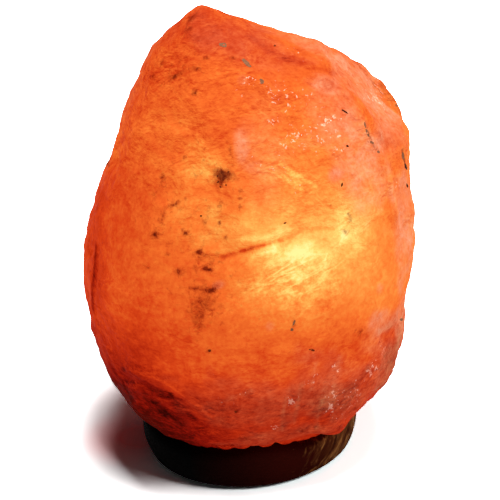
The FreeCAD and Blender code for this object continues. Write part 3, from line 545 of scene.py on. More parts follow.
# Inclusions: pixel x, pixel y, half length, half width, finish, then a tilt in degrees if any
INCLUSIONS = dict(
    cluster_1=(217.5, 176, 1.5, 0.7, "rust", 70),
    cluster_2=(222, 172.5, 1.7, 1, "rust", 20),
    cluster_3=(228.5, 172, 1.3, 0.7, "rust", 60),
    cluster_4=(218, 182, 1.6, 0.9, "rust", 40),
    cluster_5=(223.5, 179, 1.5, 1, "rust"),
    cluster_7=(220.5, 187, 1.3, 0.8, "rust", -30),
    cluster_8=(226, 185, 1.2, 0.8, "rust"),
    dash=(344.7, 111.4, 3.9, 0.9, "mica", -32),
    seed=(347.4, 146, 1.4, 1, "mica", -30),
    upright_dash=(342, 184.5, 2.4, 0.8, "mica", 75),
    edge_dash=(407.2, 185.6, 2.2, 0.8, "mica", -70),
    small_dot=(348.6, 77.6, 1.3, 0.9, "mica", 60),
    top_dot=(274.8, 45.8, 1.2, 0.9, "rust"),
    black_dot=(201, 216, 1.2, 0.9, "mica"),
    side_dot=(414.5, 248, 1.3, 1, "mica"),
    crease_dot=(285, 223, 1.6, 0.8, "rust", 30),
    brown_dot=(209.5, 350.7, 1.6, 1.2, "rust"),
    low_brown=(235.6, 411.8, 1.2, 0.8, "rust"),
    oval_smudge=(223, 45, 4.2, 2.4, "clay", -20),
    long_smudge=(246.5, 63, 6.5, 1.9, "clay", -42),
    round_smudge=(262, 81.5, 3, 2.2, "clay", -60),
    grey_tip=(294, 322.5, 3.2, 1, "clay", 70),
    grey_foot=(292, 329.5, 1.8, 1.5, "clay", 20),
    green_brown=(311.6, 349.9, 3, 1.3, "rust", -10),
    upper_thread=(365, 125, 2.8, 0.8, "clay", -75),
    thread=(367.4, 133, 4.2, 1.2, "clay", -70),
    thread_bead=(372, 142.6, 2.2, 1.1, "clay", -30),
    lower_bead=(378.5, 152, 1.6, 1.1, "clay", -40),
    rim_thread=(403, 156, 4.6, 1.2, "clay", -85),
    rim_thread_low=(405.7, 166.5, 4, 1, "mica", -72),
    edge_chip=(401.5, 319.5, 1.6, 1.4, "clay"),
)


# ---- the crystal's mesh ----

VOXEL = 1.2 * MM
FOOT_SPARE = 5 * MM  # drawn down below the foot, then cut off flat
SOFTEN_ROUNDS = 18
WARP, WARP_SIZE, WARP_SEEDS = 7 * MM, 22 * MM, (11, 12, 13)  # bends the scallops' ridges
SCALLOP, SCALLOP_DEPTH, SCALLOP_SEED = 24 * MM, 0.7 * MM, 21
SWELL, SWELL_DEPTH, SWELL_SEED = 30 * MM, 1.2 * MM, 31
CHOP, CHOP_DEPTH, CHOP_SEED = 9 * MM, 0.55 * MM, 36
PITTING, PITTING_DEPTH, PITTING_SEED = 3 * MM, 0.14 * MM, 41
CHIPS, CHIPS_DEPTH, CHIPS_SEED = 6 * MM, 3.4 * MM, 46  # bites out of the foot's edge
CHIPS_LOW, CHIPS_HIGH = 1 * MM, 9 * MM  # above the foot, where the bites fade out
TOUCHING = 1e-6
SLACK, PLUG_SLACK = 0.05 * MM, 0.2 * MM  # round the bore and the plug holes
ON_AXIS = 0.1 * MM
PLUG_REACH, SCREW_REACH = 20 * MM, 12 * MM  # past one plug or screw, short of the next
PLUG_SPARE = 1 * MM  # a plug hole goes this much deeper than its plug
WIDE = 0.2  # wider than the crystal
DOME_STEPS = 24
HOLE_SIDES = 96
FIXINGS = [math.radians(-90 + 120 * number) for number in range(3)]


def front_one(node_name, reach):
    """Corners of the front one of three alike pieces, and its middle's distance from the axis."""
    points = points_of(nodes[node_name].data)
    front = points[np.hypot(points[:, 0], points[:, 1] - points[:, 1].min()) < reach]
    return front, -(front[:, 1].min() + front[:, 1].max()) / 2


def crystal_measures(cad):
    """Foot height, bore radius and top, and the plug holes' circle and radius, from the mesh."""
    points = points_of(cad.data)
    foot = points[:, 2].min()
    reach = np.hypot(points[:, 0], points[:, 1])
    at_foot = np.abs(points[:, 2] - foot) < TOUCHING
    on_axis = (reach < ON_AXIS) & (points[:, 2] < foot + 0.8 * np.ptp(points[:, 2]))
    plug, plug_circle = front_one("anchor_plugs", PLUG_REACH)
    return {
        "foot": foot,
        "bore_radius": reach[at_foot].min(),
        "bore_top": points[on_axis, 2].max(),
        "plug_circle": plug_circle,
        "plug_radius": np.ptp(plug[:, 0]) / 2,
        "plug_top": plug[:, 2].max() + PLUG_SPARE,
    }


def is_inner(point, facts):
    """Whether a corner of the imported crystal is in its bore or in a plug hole."""
    flat = point.xy.to_3d()
    centres = [Vector((math.cos(a), math.sin(a), 0)) * facts["plug_circle"] for a in FIXINGS]
    in_bore = flat.length < facts["bore_radius"] + SLACK
    near_plug = min((flat - c).length for c in centres) < facts["plug_radius"] + PLUG_SLACK
    below_bore_top = point.z < facts["bore_top"] + SLACK
    below_plug_top = point.z < facts["plug_top"] + PLUG_SPARE
    return (in_bore and below_bore_top) or (near_plug and below_plug_top)


def outer_block(cad, facts):
    """The crystal's outside alone, with its foot drawn down."""
    block = bmesh.new()
    block.from_mesh(cad.data)
    bmesh.ops.remove_doubles(block, verts=block.verts, dist=TOUCHING)
    doomed = [
        face for face in block.faces
        if any(is_inner(v.co, facts) for v in face.verts)
        or all(abs(v.co.z - facts["foot"]) < TOUCHING for v in face.verts)
    ]
    bmesh.ops.delete(block, geom=doomed, context="FACES")
    rim = [edge for edge in block.edges if edge.is_boundary]
    drawn = bmesh.ops.extrude_edge_only(block, edges=rim)["geom"]
    low_verts = {item for item in drawn if isinstance(item, bmesh.types.BMVert)}
    for vert in low_verts:
        vert.co.z -= FOOT_SPARE
    low_edges = [item for item in drawn if isinstance(item, bmesh.types.BMEdge)]
    low_rim = [edge for edge in low_edges if low_verts.issuperset(edge.verts)]
    bmesh.ops.edgeloop_fill(block, edges=low_rim)
    bmesh.ops.recalc_face_normals(block, faces=block.faces)
    return mesh_from("crystal_block", block)


def hew(mesh):
    """Weather the block: swells, scallops with low ridges between them, pits, marks and chips."""
    points = soften(points_of(mesh), rows_of(mesh.edges, "vertices", 2, int), SOFTEN_ROUNDS)
    move_points(mesh, points)
    tree, out = surface_tree(mesh), rows_of(mesh.vertex_normals, "vector", 3)
    shifts = [value_noise(points, WARP_SIZE, seed) for seed in WARP_SEEDS]
    warped = points + WARP * np.stack(shifts, axis=1)
    first, second = cell_distances(warped * (1, 1, 1.5), SCALLOP, SCALLOP_SEED)
    ridge = 1 - smooth_step(0, 0.5, second - first)
    depth = SCALLOP_DEPTH * (0.7 * ridge - 0.6 + 0.5 * first)
    depth += SWELL_DEPTH * layered_noise(points, SWELL, SWELL_SEED, 3)
    depth += CHOP_DEPTH * layered_noise(warped * (1, 1, 1.6), CHOP, CHOP_SEED, 2)
    depth += PITTING_DEPTH * layered_noise(points * (1, 1, 1.8), PITTING, PITTING_SEED, 2)
    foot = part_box("salt_crystal")[0].z
    at_foot = 1 - smooth_step(foot + CHIPS_LOW, foot + CHIPS_HIGH, points[:, 2])
    bites = smooth_step(-0.1, 0.8, layered_noise(points * (1, 1, 0.5), CHIPS, CHIPS_SEED, 2))
    depth -= CHIPS_DEPTH * at_foot * bites
    depth += MM * (all_marks(points, tree, DENTS) + all_strokes(points, tree, GROOVES))
    move_points(mesh, fit_inside(points + out * depth[:, None]))


def fit_inside(points):
    """Points drawn in a little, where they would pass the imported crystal's box."""
    low, high = (np.array(corner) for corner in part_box("salt_crystal"))
    for axis in range(2):
        column = points[:, axis]
        below, above = column < 0, column > 0
        column[below] *= min(1, low[axis] / column.min())
        column[above] *= min(1, high[axis] / column.max())
    over = max(0, points[:, 2].max() - high[2])
    points[:, 2] -= over * np.clip((points[:, 2] - low[2]) / (high[2] - low[2]), 0, 1)
    return points


def join_rings(work, lower, upper):
    """The faces between two rings of corners."""
    corners = zip(lower[-1:] + lower, lower, upper, upper[-1:] + upper)
    return [work.faces.new(four) for four in corners]


def turned_mesh(name, rings, sides=HOLE_SIDES, centre=(0, 0), depth=0, pitch=1, hollow=False):
    """A closed mesh turned from (radius, height, thread's share) rings, with a thread if deep."""
    work = bmesh.new()
    loops = []
    for reach, height, share in rings:
        loop = []
        for side in range(sides):
            turn = 2 * math.pi * side / sides
            wave = 0.5 + 0.5 * math.cos(2 * math.pi * height / pitch - turn)
            radius = reach - depth * share * (1 - wave)
            across, up = radius * math.cos(turn), radius * math.sin(turn)
            loop.append(work.verts.new((centre[0] + across, centre[1] + up, height)))
        loops.append(loop)
    if not hollow:
        work.faces.new(loops[0][::-1])
        work.faces.new(loops[-1])
    for lower, upper in zip(loops, loops[1:] + loops[:1] * hollow):
        join_rings(work, lower, upper)
    bmesh.ops.recalc_face_normals(work, faces=work.faces)
    return mesh_from(name, work)


def cut(item, rings, centre=(0, 0)):
    """Take a turned shape out of a closed object."""
    cut_away(item, turned_mesh("cutter", rings, centre=centre))


def cut_away(item, mesh):
    """Take a closed mesh out of a closed object."""
    cutter = new_object("cutter", mesh)
    change = item.modifiers.new("cut", "BOOLEAN")
    change.operation = "DIFFERENCE"
    change.solver = "MANIFOLD"
    change.object = cutter
    apply_modifiers(item)
    bpy.data.objects.remove(cutter)


def make_crystal():
    """The crystal's fine mesh, bored and cut flat at its foot."""
    cad = nodes["salt_crystal"]
    facts = crystal_measures(cad)
    crystal = new_object("crystal", outer_block(cad, facts))
    change = crystal.modifiers.new("remesh", "REMESH")
    change.mode = "VOXEL"
    change.voxel_size = VOXEL
    apply_modifiers(crystal)
    hew(crystal.data)
    low, radius, top = facts["foot"] - 3 * FOOT_SPARE, facts["bore_radius"], facts["bore_top"]
    cut(crystal, [(WIDE, low, 0), (WIDE, facts["foot"], 0)])
    dome = [math.pi / 2 * step / DOME_STEPS for step in range(DOME_STEPS)]
    dome_rings = [(radius * math.cos(a), top - radius * (1 - math.sin(a)), 0) for a in dome]
    cut(crystal, [(radius, low, 0)] + dome_rings)
    for turn in FIXINGS:
        centre = (facts["plug_circle"] * math.cos(turn), facts["plug_circle"] * math.sin(turn))
        heights = (low, facts["plug_top"])
        cut(crystal, [(facts["plug_radius"], height, 0) for height in heights], centre)
    crystal.data.shade_smooth()
    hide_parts("salt_crystal")
    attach(crystal, "lamp")
    return crystal


# ---- materials ----


def linear(red, green, blue):
    """A screen colour of 0 to 255 as linear values."""
    out = []
    for part in (red / 255, green / 255, blue / 255):
        out.append(part / 12.92 if part <= 0.04045 else ((part + 0.055) / 1.055) ** 2.4)
    return (*out, 1.0)


class Paint:
    """A material of one Principled shader, with short ways to add nodes."""

    def __init__(self, name, roughness=0.5, **fixed):
        self.material = bpy.data.materials.new(name)
        self.material.use_nodes = True
        self.tree = self.material.node_tree
        self.shader = self.tree.nodes["Principled BSDF"]
        self.set_input(self.shader, "Roughness", roughness)
        for key, value in fixed.items():
            self.set_input(self.shader, key.replace("_", " "), value)

    def set_input(self, node, key, value):
        """A socket takes another node's output, or a plain value."""
        if isinstance(value, bpy.types.NodeSocket):
            self.tree.links.new(value, node.inputs[key])
        else:
            node.inputs[key].default_value = value

    def add(self, kind, settings=None, **inputs):
        """A node, with its settings and its inputs by name."""
        node = self.tree.nodes.new(kind)
        for key, value in (settings or {}).items():
            setattr(node, key, value)
        for key, value in inputs.items():
            self.set_input(node, key.replace("_", " "), value)
        return node

    def place(self, stretch=(1, 1, 1), turn=(0, 0, 0)):
        """Object coordinates, stretched and turned."""
        spot = self.add("ShaderNodeTexCoord").outputs["Object"]
        node = self.add("ShaderNodeMapping", Vector=spot)
        node.inputs["Scale"].default_value = stretch
        node.inputs["Rotation"].default_value = turn
        return node.outputs["Vector"]

    def drawn_out(self, direction, share):
        """Object coordinates in which features are drawn out along a unit direction."""
        spot = self.add("ShaderNodeTexCoord").outputs["Object"]
        along = self.vector("DOT_PRODUCT", spot, direction, output="Value")
        step = self.add("ShaderNodeVectorMath", {"operation": "SCALE"}, Scale=self.times(along, share))
        step.inputs[0].default_value = direction
        return self.vector("SUBTRACT", spot, step.outputs["Vector"])

    def noise(self, where, size, detail=3.0, rough=0.5, swirl=0.0):
        """Noise of a feature size in metres, from 0 to 1."""
        node = self.add("ShaderNodeTexNoise", Vector=where, Scale=1 / size, Detail=detail)
        node.inputs["Roughness"].default_value = rough
        node.inputs["Distortion"].default_value = swirl
        return node.outputs["Fac"]

    def attribute(self, name):
        """A value that the mesh carries."""
        return self.add("ShaderNodeAttribute", {"attribute_name": name}).outputs["Fac"]

    def sum(self, first, second, operation="ADD"):
        """Two values, added or combined another way."""
        node = self.add("ShaderNodeMath", {"operation": operation})
        self.set_input(node, 0, first)
        self.set_input(node, 1, second)
        return node.outputs[0]

    def times(self, first, second):
        """Two values, multiplied."""
        return self.sum(first, second, "MULTIPLY")

    def vector(self, operation, first, second=None, output="Vector"):
        """A sum of vectors, or another operation on them."""
        node = self.add("ShaderNodeVectorMath", {"operation": operation})
        self.set_input(node, 0, first)
        if second is not None:
            self.set_input(node, 1, second)
        return node.outputs[output]

    def scale(self, value, low, high, out_low=0.0, out_high=1.0):
        """A value mapped from one span to another, held at its ends."""
        node = self.add("ShaderNodeMapRange", Value=value)
        spans = {"From Min": low, "From Max": high, "To Min": out_low, "To Max": out_high}
        for key, number in spans.items():
            node.inputs[key].default_value = number
        return node.outputs["Result"]

    def ramp(self, value, stops):
        """A colour ramp of (place, screen colour) stops."""
        node = self.add("ShaderNodeValToRGB", Fac=value)
        slots = node.color_ramp.elements
        while len(slots) < len(stops):
            slots.new(1.0)
        for slot, (place, colour) in zip(slots, stops):
            slot.position = place
            slot.color = linear(*colour)
        return node.outputs["Color"]

    def mix(self, share, first, second, blend="MIX"):
        """Two colours mixed by a share."""
        node = self.add("ShaderNodeMix", {"data_type": "RGBA", "blend_type": blend})
        self.set_input(node, 0, share)
        self.set_input(node, 6, first)
        self.set_input(node, 7, second)
        return node.outputs[2]

    def bump(self, height, depth):
        """Give the shader a bump of a height field, so many metres deep."""
        node = self.add("ShaderNodeBump", Height=height, Distance=depth, Strength=1.0)
        self.set_input(self.shader, "Normal", node.outputs["Normal"])

    def colour(self, value):
        """Give the shader its colour."""
        self.set_input(self.shader, "Base Color", value)

    def glow(self, value, strength):
        """Give the shader a light of its own."""
        self.set_input(self.shader, "Emission Color", value)
        self.shader.inputs["Emission Strength"].default_value = strength


def dress(paint, *node_names):
    """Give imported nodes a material."""
    for node_name in node_names:
        slots = nodes[node_name].data.materials
        slots.clear()
        slots.append(paint.material)


# ---- salt ----

LIGHT = (6 * MM, -8 * MM, 108 * MM)  # middle of the light inside

SALT_GLOW = [  # brightness: screen colour
    (0.1, (66, 5, 2)), (0.2, (136, 15, 5)), (0.32, (188, 42, 12)), (0.42, (221, 67, 21)),
    (0.48, (233, 91, 32)), (0.55, (246, 112, 41)), (0.6, (249, 129, 50)),
    (0.65, (250, 147, 62)), (0.72, (252, 176, 82)), (0.85, (254, 222, 122)),
    (0.96, (255, 246, 160)),
]
# The glow of frosted faces: paler, as a painted highlight
FROST_AND_HIGHLIGHT_GLOW = [
    (0.15, (100, 36, 18)), (0.3, (160, 76, 40)), (0.45, (208, 110, 70)), (0.6, (228, 136, 100)),
    (0.75, (255, 172, 130)), (0.95, (255, 215, 170)),
]
SPARK_GLOW = [(0.25, (150, 84, 66)), (0.55, (240, 165, 125)), (0.9, (255, 225, 160))]
BRIGHT_GLOW = [(0.25, (185, 130, 112)), (0.55, (252, 196, 160)), (0.9, (255, 240, 190))]
# The share of the glow let through stains, also laid on the painted shade in creases and along the
# left edge
LIGHT_STAIN_AND_SHADE, DARK_STAIN_AND_SHADE = (0.50, 0.28, 0.30, 1), (0.14, 0.05, 0.08, 1)  # share of light let through
# The salt's colour follows its glow: darker where the glow is low, as painted shade, and lighter where
# it is high, as painted light
SALT_BASE_BY_GLOW = [
    (0.15, (46, 5, 2)), (0.45, (72, 20, 6)), (0.65, (108, 44, 16)), (0.95, (150, 80, 30)),
]


def facing_light(salt):
    """How much more a bumped face turns to the light inside than the plain one."""
    geometry = salt.add("ShaderNodeNewGeometry").outputs
    ray = salt.vector("NORMALIZE", salt.vector("SUBTRACT", geometry["Position"], LIGHT))
    bumped = salt.shader.inputs["Normal"].links[0].from_socket
    slant = salt.vector("SUBTRACT", bumped, geometry["Normal"])
    return salt.vector("DOT_PRODUCT", slant, ray, output="Value")


VEIN_RISE = math.radians(16)
SALT_GRAIN, SALT_MOTTLE, SALT_COMB = 1.8 * MM, 4.5 * MM, 5 * MM  # sizes of its noises
SALT_CHOP, SALT_WAVE = 9 * MM, 18 * MM
STAIN_RIM, STAIN_FLECK = 2.4 * MM, 2.3 * MM
SPARK_SIZE, BRIGHT_SIZE = 2.4 * MM, 1.8 * MM
SALT_BUMP = 1.5 * MM
SLANT_GAIN = 0.50  # how much a face brightens as it turns to the light inside
SALT_LIGHT = 0.9  # strength of the light that the salt and its flakes give off


def veins(salt, where):
    """Thin bright lines, as ripples in the surface gather the light."""
    wander = salt.noise(where, 5.5 * MM, 3, 0.55, 0.5)
    off = salt.sum(salt.sum(wander, 0.5, "SUBTRACT"), 0, "ABSOLUTE")
    return salt.scale(off, 0.0, 0.09, 1.0, 0.0)


def flecks(salt, where, size, amount, most=0.58):
    """Ragged flecks of a size, more of them where the amount is high."""
    fine = salt.noise(where, size, 3, 0.6, 0.5)
    rise = salt.sum(fine, salt.scale(amount, 0, 1, -0.74, -most))
    return salt.times(salt.scale(rise, 0.0, 0.05), salt.scale(amount, 0.02, 0.15))


def salt_relief(salt, where):
    """Bump the salt with noises of four sizes, and return the finest and the choppy one."""
    flat = salt.place(stretch=(1, 1, 1.8), turn=(0, 0.25, 0))
    combed = salt.place(stretch=(1, 1, 2.0), turn=(0, 0.12, 0))
    grain = salt.noise(where, SALT_GRAIN, 4, 0.6)
    chop = salt.noise(flat, SALT_CHOP, 3, 0.5, 0.3)
    comb = salt.noise(combed, SALT_COMB, 3, 0.55, 0.3)
    wave = salt.noise(where, SALT_WAVE, 3, 0.5, 0.6)
    height = 0
    for layer, share in ((grain, 0.18), (chop, 0.4), (comb, 0.20), (wave, 1.5)):
        height = salt.sum(height, salt.times(layer, share))
    salt.bump(height, SALT_BUMP)
    return grain, chop


def salt_level(salt, grain, mottle, chop):
    """How brightly the salt glows, before frost and painted highlights, and stains and painted shade.
    """
    level = salt.sum(salt.attribute("glow"), salt.times(facing_light(salt), SLANT_GAIN))
    for layer, most in ((chop, 0.02), (mottle, 0.03), (grain, 0.03)):
        level = salt.sum(level, salt.scale(layer, 0.3, 0.7, -most, most))
    rising = salt.drawn_out((math.cos(VEIN_RISE), 0, math.sin(VEIN_RISE)), 0.74)
    shimmer = salt.sum(salt.times(veins(salt, rising), 0.14), salt.scale(grain, 0.4, 0.7, 0, 0.08))
    return salt.sum(level, salt.times(shimmer, salt.attribute("ripple")))


def salt_dirt_and_shade(salt, where):
    """How stained the salt is and where it has painted shade, up to a ragged rim, and how dirty with
    its brown flecks.
    """
    stain_and_shade = salt.attribute("stain_and_shade")
    ragged = salt.noise(where, STAIN_RIM, 5, 0.7, 0.5)
    edge = salt.sum(stain_and_shade, salt.scale(ragged, 0.25, 0.75, -0.45, 0.45))
    brown = flecks(salt, salt.place(stretch=(1.1, 1, 0.9)), STAIN_FLECK, stain_and_shade)
    return edge, salt.sum(salt.scale(edge, 0.2, 0.78), salt.times(brown, 0.7), "MAXIMUM")


def salt_paint():
    """Rock salt lit from inside: glowing orange, its colour following the glow as painted light and
    shade, frosted with painted highlights, sparkling with painted glints, and stained in places, with
    painted shade in its creases.
    """
    salt = Paint("salt", roughness=0.75, IOR=1.2, Specular_IOR_Level=0.015)
    where = salt.place()
    mottle = salt.noise(where, SALT_MOTTLE, 4, 0.6, 0.3)
    grain, chop = salt_relief(salt, where)
    level = salt_level(salt, grain, mottle, chop)
    ragged = salt.scale(salt.sum(mottle, grain), 0.75, 1.25, 0.4, 1.3)
    # frost, with painted highlights on the faces to the right and at the top
    frost_and_highlight = salt.times(salt.attribute("frost_and_highlight"), ragged)
    edge, dirt_and_shade = salt_dirt_and_shade(salt, where)
    # painted glints
    sparkle, tall = salt.attribute("sparkle"), salt.place(stretch=(1.2, 1.2, 0.9))
    spark = salt.times(flecks(salt, tall, SPARK_SIZE, sparkle, 0.43), 0.7)
    bright = salt.times(flecks(salt, tall, BRIGHT_SIZE, sparkle, 0.57), 0.7)
    # the colour follows the glow: painted light and shade
    base = salt.mix(frost_and_highlight, salt.ramp(level, SALT_BASE_BY_GLOW), linear(130, 84, 62))
    # darker where stained, and in the painted shade of creases and the left edge
    base = salt.mix(dirt_and_shade, base, linear(34, 6, 2))
    base = salt.mix(spark, base, linear(190, 140, 125))
    salt.colour(salt.mix(bright, base, linear(215, 180, 165)))
    # a paler glow where frosted: painted highlight
    shine = salt.mix(frost_and_highlight, salt.ramp(level, SALT_GLOW), salt.ramp(level, FROST_AND_HIGHLIGHT_GLOW))
    # the glow dimmed by stains and by painted shade
    stain_and_shade_tint = salt.mix(salt.scale(edge, 0.6, 1.1), LIGHT_STAIN_AND_SHADE, DARK_STAIN_AND_SHADE)
    shine = salt.mix(dirt_and_shade, shine, stain_and_shade_tint, "MULTIPLY")
    shine = salt.mix(spark, shine, salt.ramp(level, SPARK_GLOW))
    salt.glow(salt.mix(bright, shine, salt.ramp(level, BRIGHT_GLOW)), SALT_LIGHT)
    return salt


def add_value(mesh, name, values):
    """Store one value a vertex."""
    layer = mesh.attributes.new(name, "FLOAT", "POINT")
    layer.data.foreach_set("value", np.asarray(np.clip(values, 0, 1), np.float32))


def clouds(points, low, high, size, seed, layers):
    """Smooth patches from 0 to 1, of a size in millimetres."""
    return smooth_step(low, high, layered_noise(points, size * MM, seed, layers))


# Clouds: low, high, size in millimetres, seed, layers
BACK_FROST = (0.15, 0.6, 26, 58, 3)
BACK_SPARKLE = (0.2, 0.7, 20, 64, 2)
BACK_STAIN = (0.4, 0.9, 18, 68, 3)
SPARKLE_CLUMPS = (-0.5, 0.5, 7, 66, 2)

GLOW_LEVEL = 0.44
RIGHT_GAIN = 0.10  # brighter to the right
FOOT_LOSS, FOOT_REACH = 0.25, (20, 92)  # darker from the upper height down to the lower, in mm
LEFT_LOSS, LEFT_REACH = 0.17, (20, 110)  # the same at the left


def glow_at(points, tree, behind):
    """How brightly the crystal glows at each point."""
    x, _, z = (points / MM).T
    glow = GLOW_LEVEL + RIGHT_GAIN * smooth_step(-75, 40, x)
    glow += 0.04 * layered_noise(points, 34 * MM, 51, 3)
    glow -= FOOT_LOSS * (1 - smooth_step(*FOOT_REACH, z))
    glow -= LEFT_LOSS * (1 - smooth_step(*LEFT_REACH, z)) * (1 - smooth_step(-55, 5, x))
    for middle, reach, amount in HOT_SPOTS.values():
        away = np.linalg.norm(points / MM - middle, axis=1) / reach
        glow += amount * np.exp(-(away**2))
    glow += 0.06 * behind * layered_noise(points, 26 * MM, 55, 3)
    return glow + all_marks(points, tree, GLOW_MARKS) + all_strokes(points, tree, GLOW_STROKES)


def paint_crystal(crystal, tree):
    """Work out where the crystal glows, where it is frosted and has painted highlights, where it
    sparkles with painted glints, and where it is stained and has painted shade, and give it its
    material.
    """
    points = points_of(crystal.data)
    behind = smooth_step(-0.2, 0.5, points[:, 1] / np.hypot(points[:, 0], points[:, 1]))
    glow = glow_at(points, tree, behind)
    # frost, with painted highlights
    frost_and_highlight = all_marks(points, tree, FROST_AND_HIGHLIGHT_MARKS, 4) + all_strokes(points, tree, FROST_AND_HIGHLIGHT_STROKES)
    frost_and_highlight += 0.6 * behind * clouds(points, *BACK_FROST)
    frost_and_highlight *= 0.8 + 0.5 * layered_noise(points, 9 * MM, 61, 3)
    ripple = all_marks(points, tree, RIPPLE_MARKS) + behind * smooth_step(0.62, 0.75, glow)
    sparkle = all_marks(points, tree, SPARKLE_MARKS)
    sparkle += 0.75 * behind * clouds(points, *BACK_SPARKLE)
    sparkle *= 0.7 + 0.3 * clouds(points, *SPARKLE_CLUMPS)
    # stains, and painted shade in creases and along the left edge
    stain_and_shade = all_marks(points, tree, STAIN_AND_SHADE_MARKS) + all_strokes(points, tree, STAIN_AND_SHADE_STROKES)
    stain_and_shade += 0.6 * behind * clouds(points, *BACK_STAIN)
    values = {"glow": glow, "frost_and_highlight": frost_and_highlight, "ripple": ripple, "sparkle": sparkle, "stain_and_shade": stain_and_shade}
    for name, value in values.items():
        add_value(crystal.data, name, value)
    crystal.data.materials.clear()
    crystal.data.materials.append(salt_paint().material)


# ---- inclusions ----

FLAKE_SIDES = 14
FLAKE_STAND = 0.08 * MM
FLAKE_DEPTH = 0.5 * MM
FLAKE_SEED = 81
STRAY_FLAKES = 22  # tried on each of the sides that the photograph doesn't show
STRAY_ACROSS, STRAY_DOWN = (130, 360), (60, 390)  # pixels between which they are tried
STRAY_LENGTH = (0.9, 4.0)
LEAST_FACING = 0.15  # how far a flake's place has to face the eye
FINISHES = {  # name: (colour, colour of its light)
    "mica": ((34, 8, 4), (40, 7, 3)),
    "rust": ((95, 34, 14), (95, 26, 6)),
    "clay": ((116, 80, 58), (128, 72, 44)),
}
DARKER = 0.6  # the darkest shade of a finish, as a share of its colour


def add_flake(work, eye, tree, flake, rng, slot, front_limit=-1.0):
    """A thin ragged flake that lies in the surface round a pixel, behind a front limit."""
    x, y, half_length, half_width, _, tilt = with_tilt(flake)
    turn = math.radians(tilt)
    top, bottom = [], []
    for side in range(FLAKE_SIDES):
        angle = 2 * math.pi * side / FLAKE_SIDES
        reach = rng.uniform(0.75, 1.15)
        along, across = reach * half_length * math.cos(angle), reach * half_width * math.sin(angle)
        spot, normal = eye.hit(
            tree,
            x + along * math.cos(turn) - across * math.sin(turn),
            y - along * math.sin(turn) - across * math.cos(turn),
        )
        if spot is None or np.dot(normal, eye.back) < LEAST_FACING or spot.y < front_limit:
            return
        top.append(work.verts.new(spot + normal * FLAKE_STAND))
        bottom.append(work.verts.new(spot - normal * FLAKE_DEPTH))
    faces = [work.faces.new(top), work.faces.new(bottom[::-1])]
    for face in faces + join_rings(work, bottom, top):
        face.material_index = slot
        face.smooth = False


def flake_paint(name, colours):
    """A flake's material: mottled, with a little light of the salt in it."""
    paint = Paint(name, roughness=0.7, IOR=1.2, Specular_IOR_Level=0.02)
    fine = paint.noise(paint.place(), 1.2 * MM, 3)
    colour, shine = (
        paint.mix(fine, linear(*(DARKER * part for part in whole)), linear(*whole))
        for whole in colours
    )
    paint.colour(colour)
    paint.glow(shine, SALT_LIGHT)
    return paint


def make_inclusions(tree):
    """Specks of mica, rust and clay in the crystal's surface, on all sides."""
    work = bmesh.new()
    rng = np.random.default_rng(FLAKE_SEED)
    finishes = list(FINISHES)
    for flake in INCLUSIONS.values():
        add_flake(work, FRONT, tree, flake, rng, finishes.index(flake[4]))
    for quarter in (1, 2, 3):
        eye = Eye(quarter * math.pi / 2)
        for _ in range(STRAY_FLAKES):
            finish = rng.integers(len(finishes))
            length = rng.uniform(*STRAY_LENGTH)
            width = rng.uniform(0.3, 0.8) * length
            place = (rng.uniform(*STRAY_ACROSS), rng.uniform(*STRAY_DOWN))
            flake = (*place, length, width, "", rng.uniform(0, 180))
            add_flake(work, eye, tree, flake, rng, finish, front_limit=0.0)
    bmesh.ops.recalc_face_normals(work, faces=work.faces)
    flakes = new_object("crystal_inclusions", mesh_from("crystal_inclusions", work))
    for name, colours in FINISHES.items():
        flakes.data.materials.append(flake_paint(name, colours).material)
    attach(flakes, "lamp")


# ---- the other pieces ----

WOOD_GRAIN = Vector((0.5, 0.5, 0.7)).normalized()
# Painted shade on the wood towards -X and painted light towards +X
SHADED_SIDE, LIT_SIDE = (-30 * MM, 15 * MM), (26 * MM, 44 * MM)  # spans along X


def wood_paint():
    """Dark stained wood, with painted shade, black to maroon, towards -X, and painted light towards
    +X, where its brown grain shows.
    """
    wood = Paint("wood", roughness=0.75, IOR=1.2, Specular_IOR_Level=0.02)
    along = wood.drawn_out(WOOD_GRAIN, 0.8)
    rings = wood.noise(along, 3 * MM, 4, 0.65, 0.5)
    pores = wood.noise(wood.drawn_out(WOOD_GRAIN, 0.9), 1.2 * MM, 3, 0.6)
    blotch = wood.noise(wood.place(), 12 * MM, 3, 0.6, 0.5)
    tone = wood.sum(wood.times(rings, 0.6), wood.times(blotch, 0.5))
    brown = wood.ramp(tone, [
        (0.42, (34, 12, 5)), (0.54, (84, 44, 20)), (0.64, (128, 82, 42)), (0.78, (150, 102, 56)),
    ])
    brown = wood.mix(wood.scale(pores, 0.55, 0.7), brown, linear(30, 12, 6))
    where = wood.add("ShaderNodeSeparateXYZ", Vector=wood.place()).outputs["X"]
    # where the painted light falls, with a ragged edge along the grain
    toward_the_light = wood.sum(where, wood.times(wood.sum(rings, 0.5, "SUBTRACT"), 0.06))
    # painted shade: black at the left, maroon towards the middle
    dark = wood.mix(wood.scale(where, *SHADED_SIDE), linear(5, 4, 4), linear(46, 9, 5))
    wood.colour(wood.mix(wood.scale(toward_the_light, *LIT_SIDE), dark, brown))
    wood.bump(wood.sum(rings, wood.times(pores, 0.5), "SUBTRACT"), 0.15 * MM)
    return wood


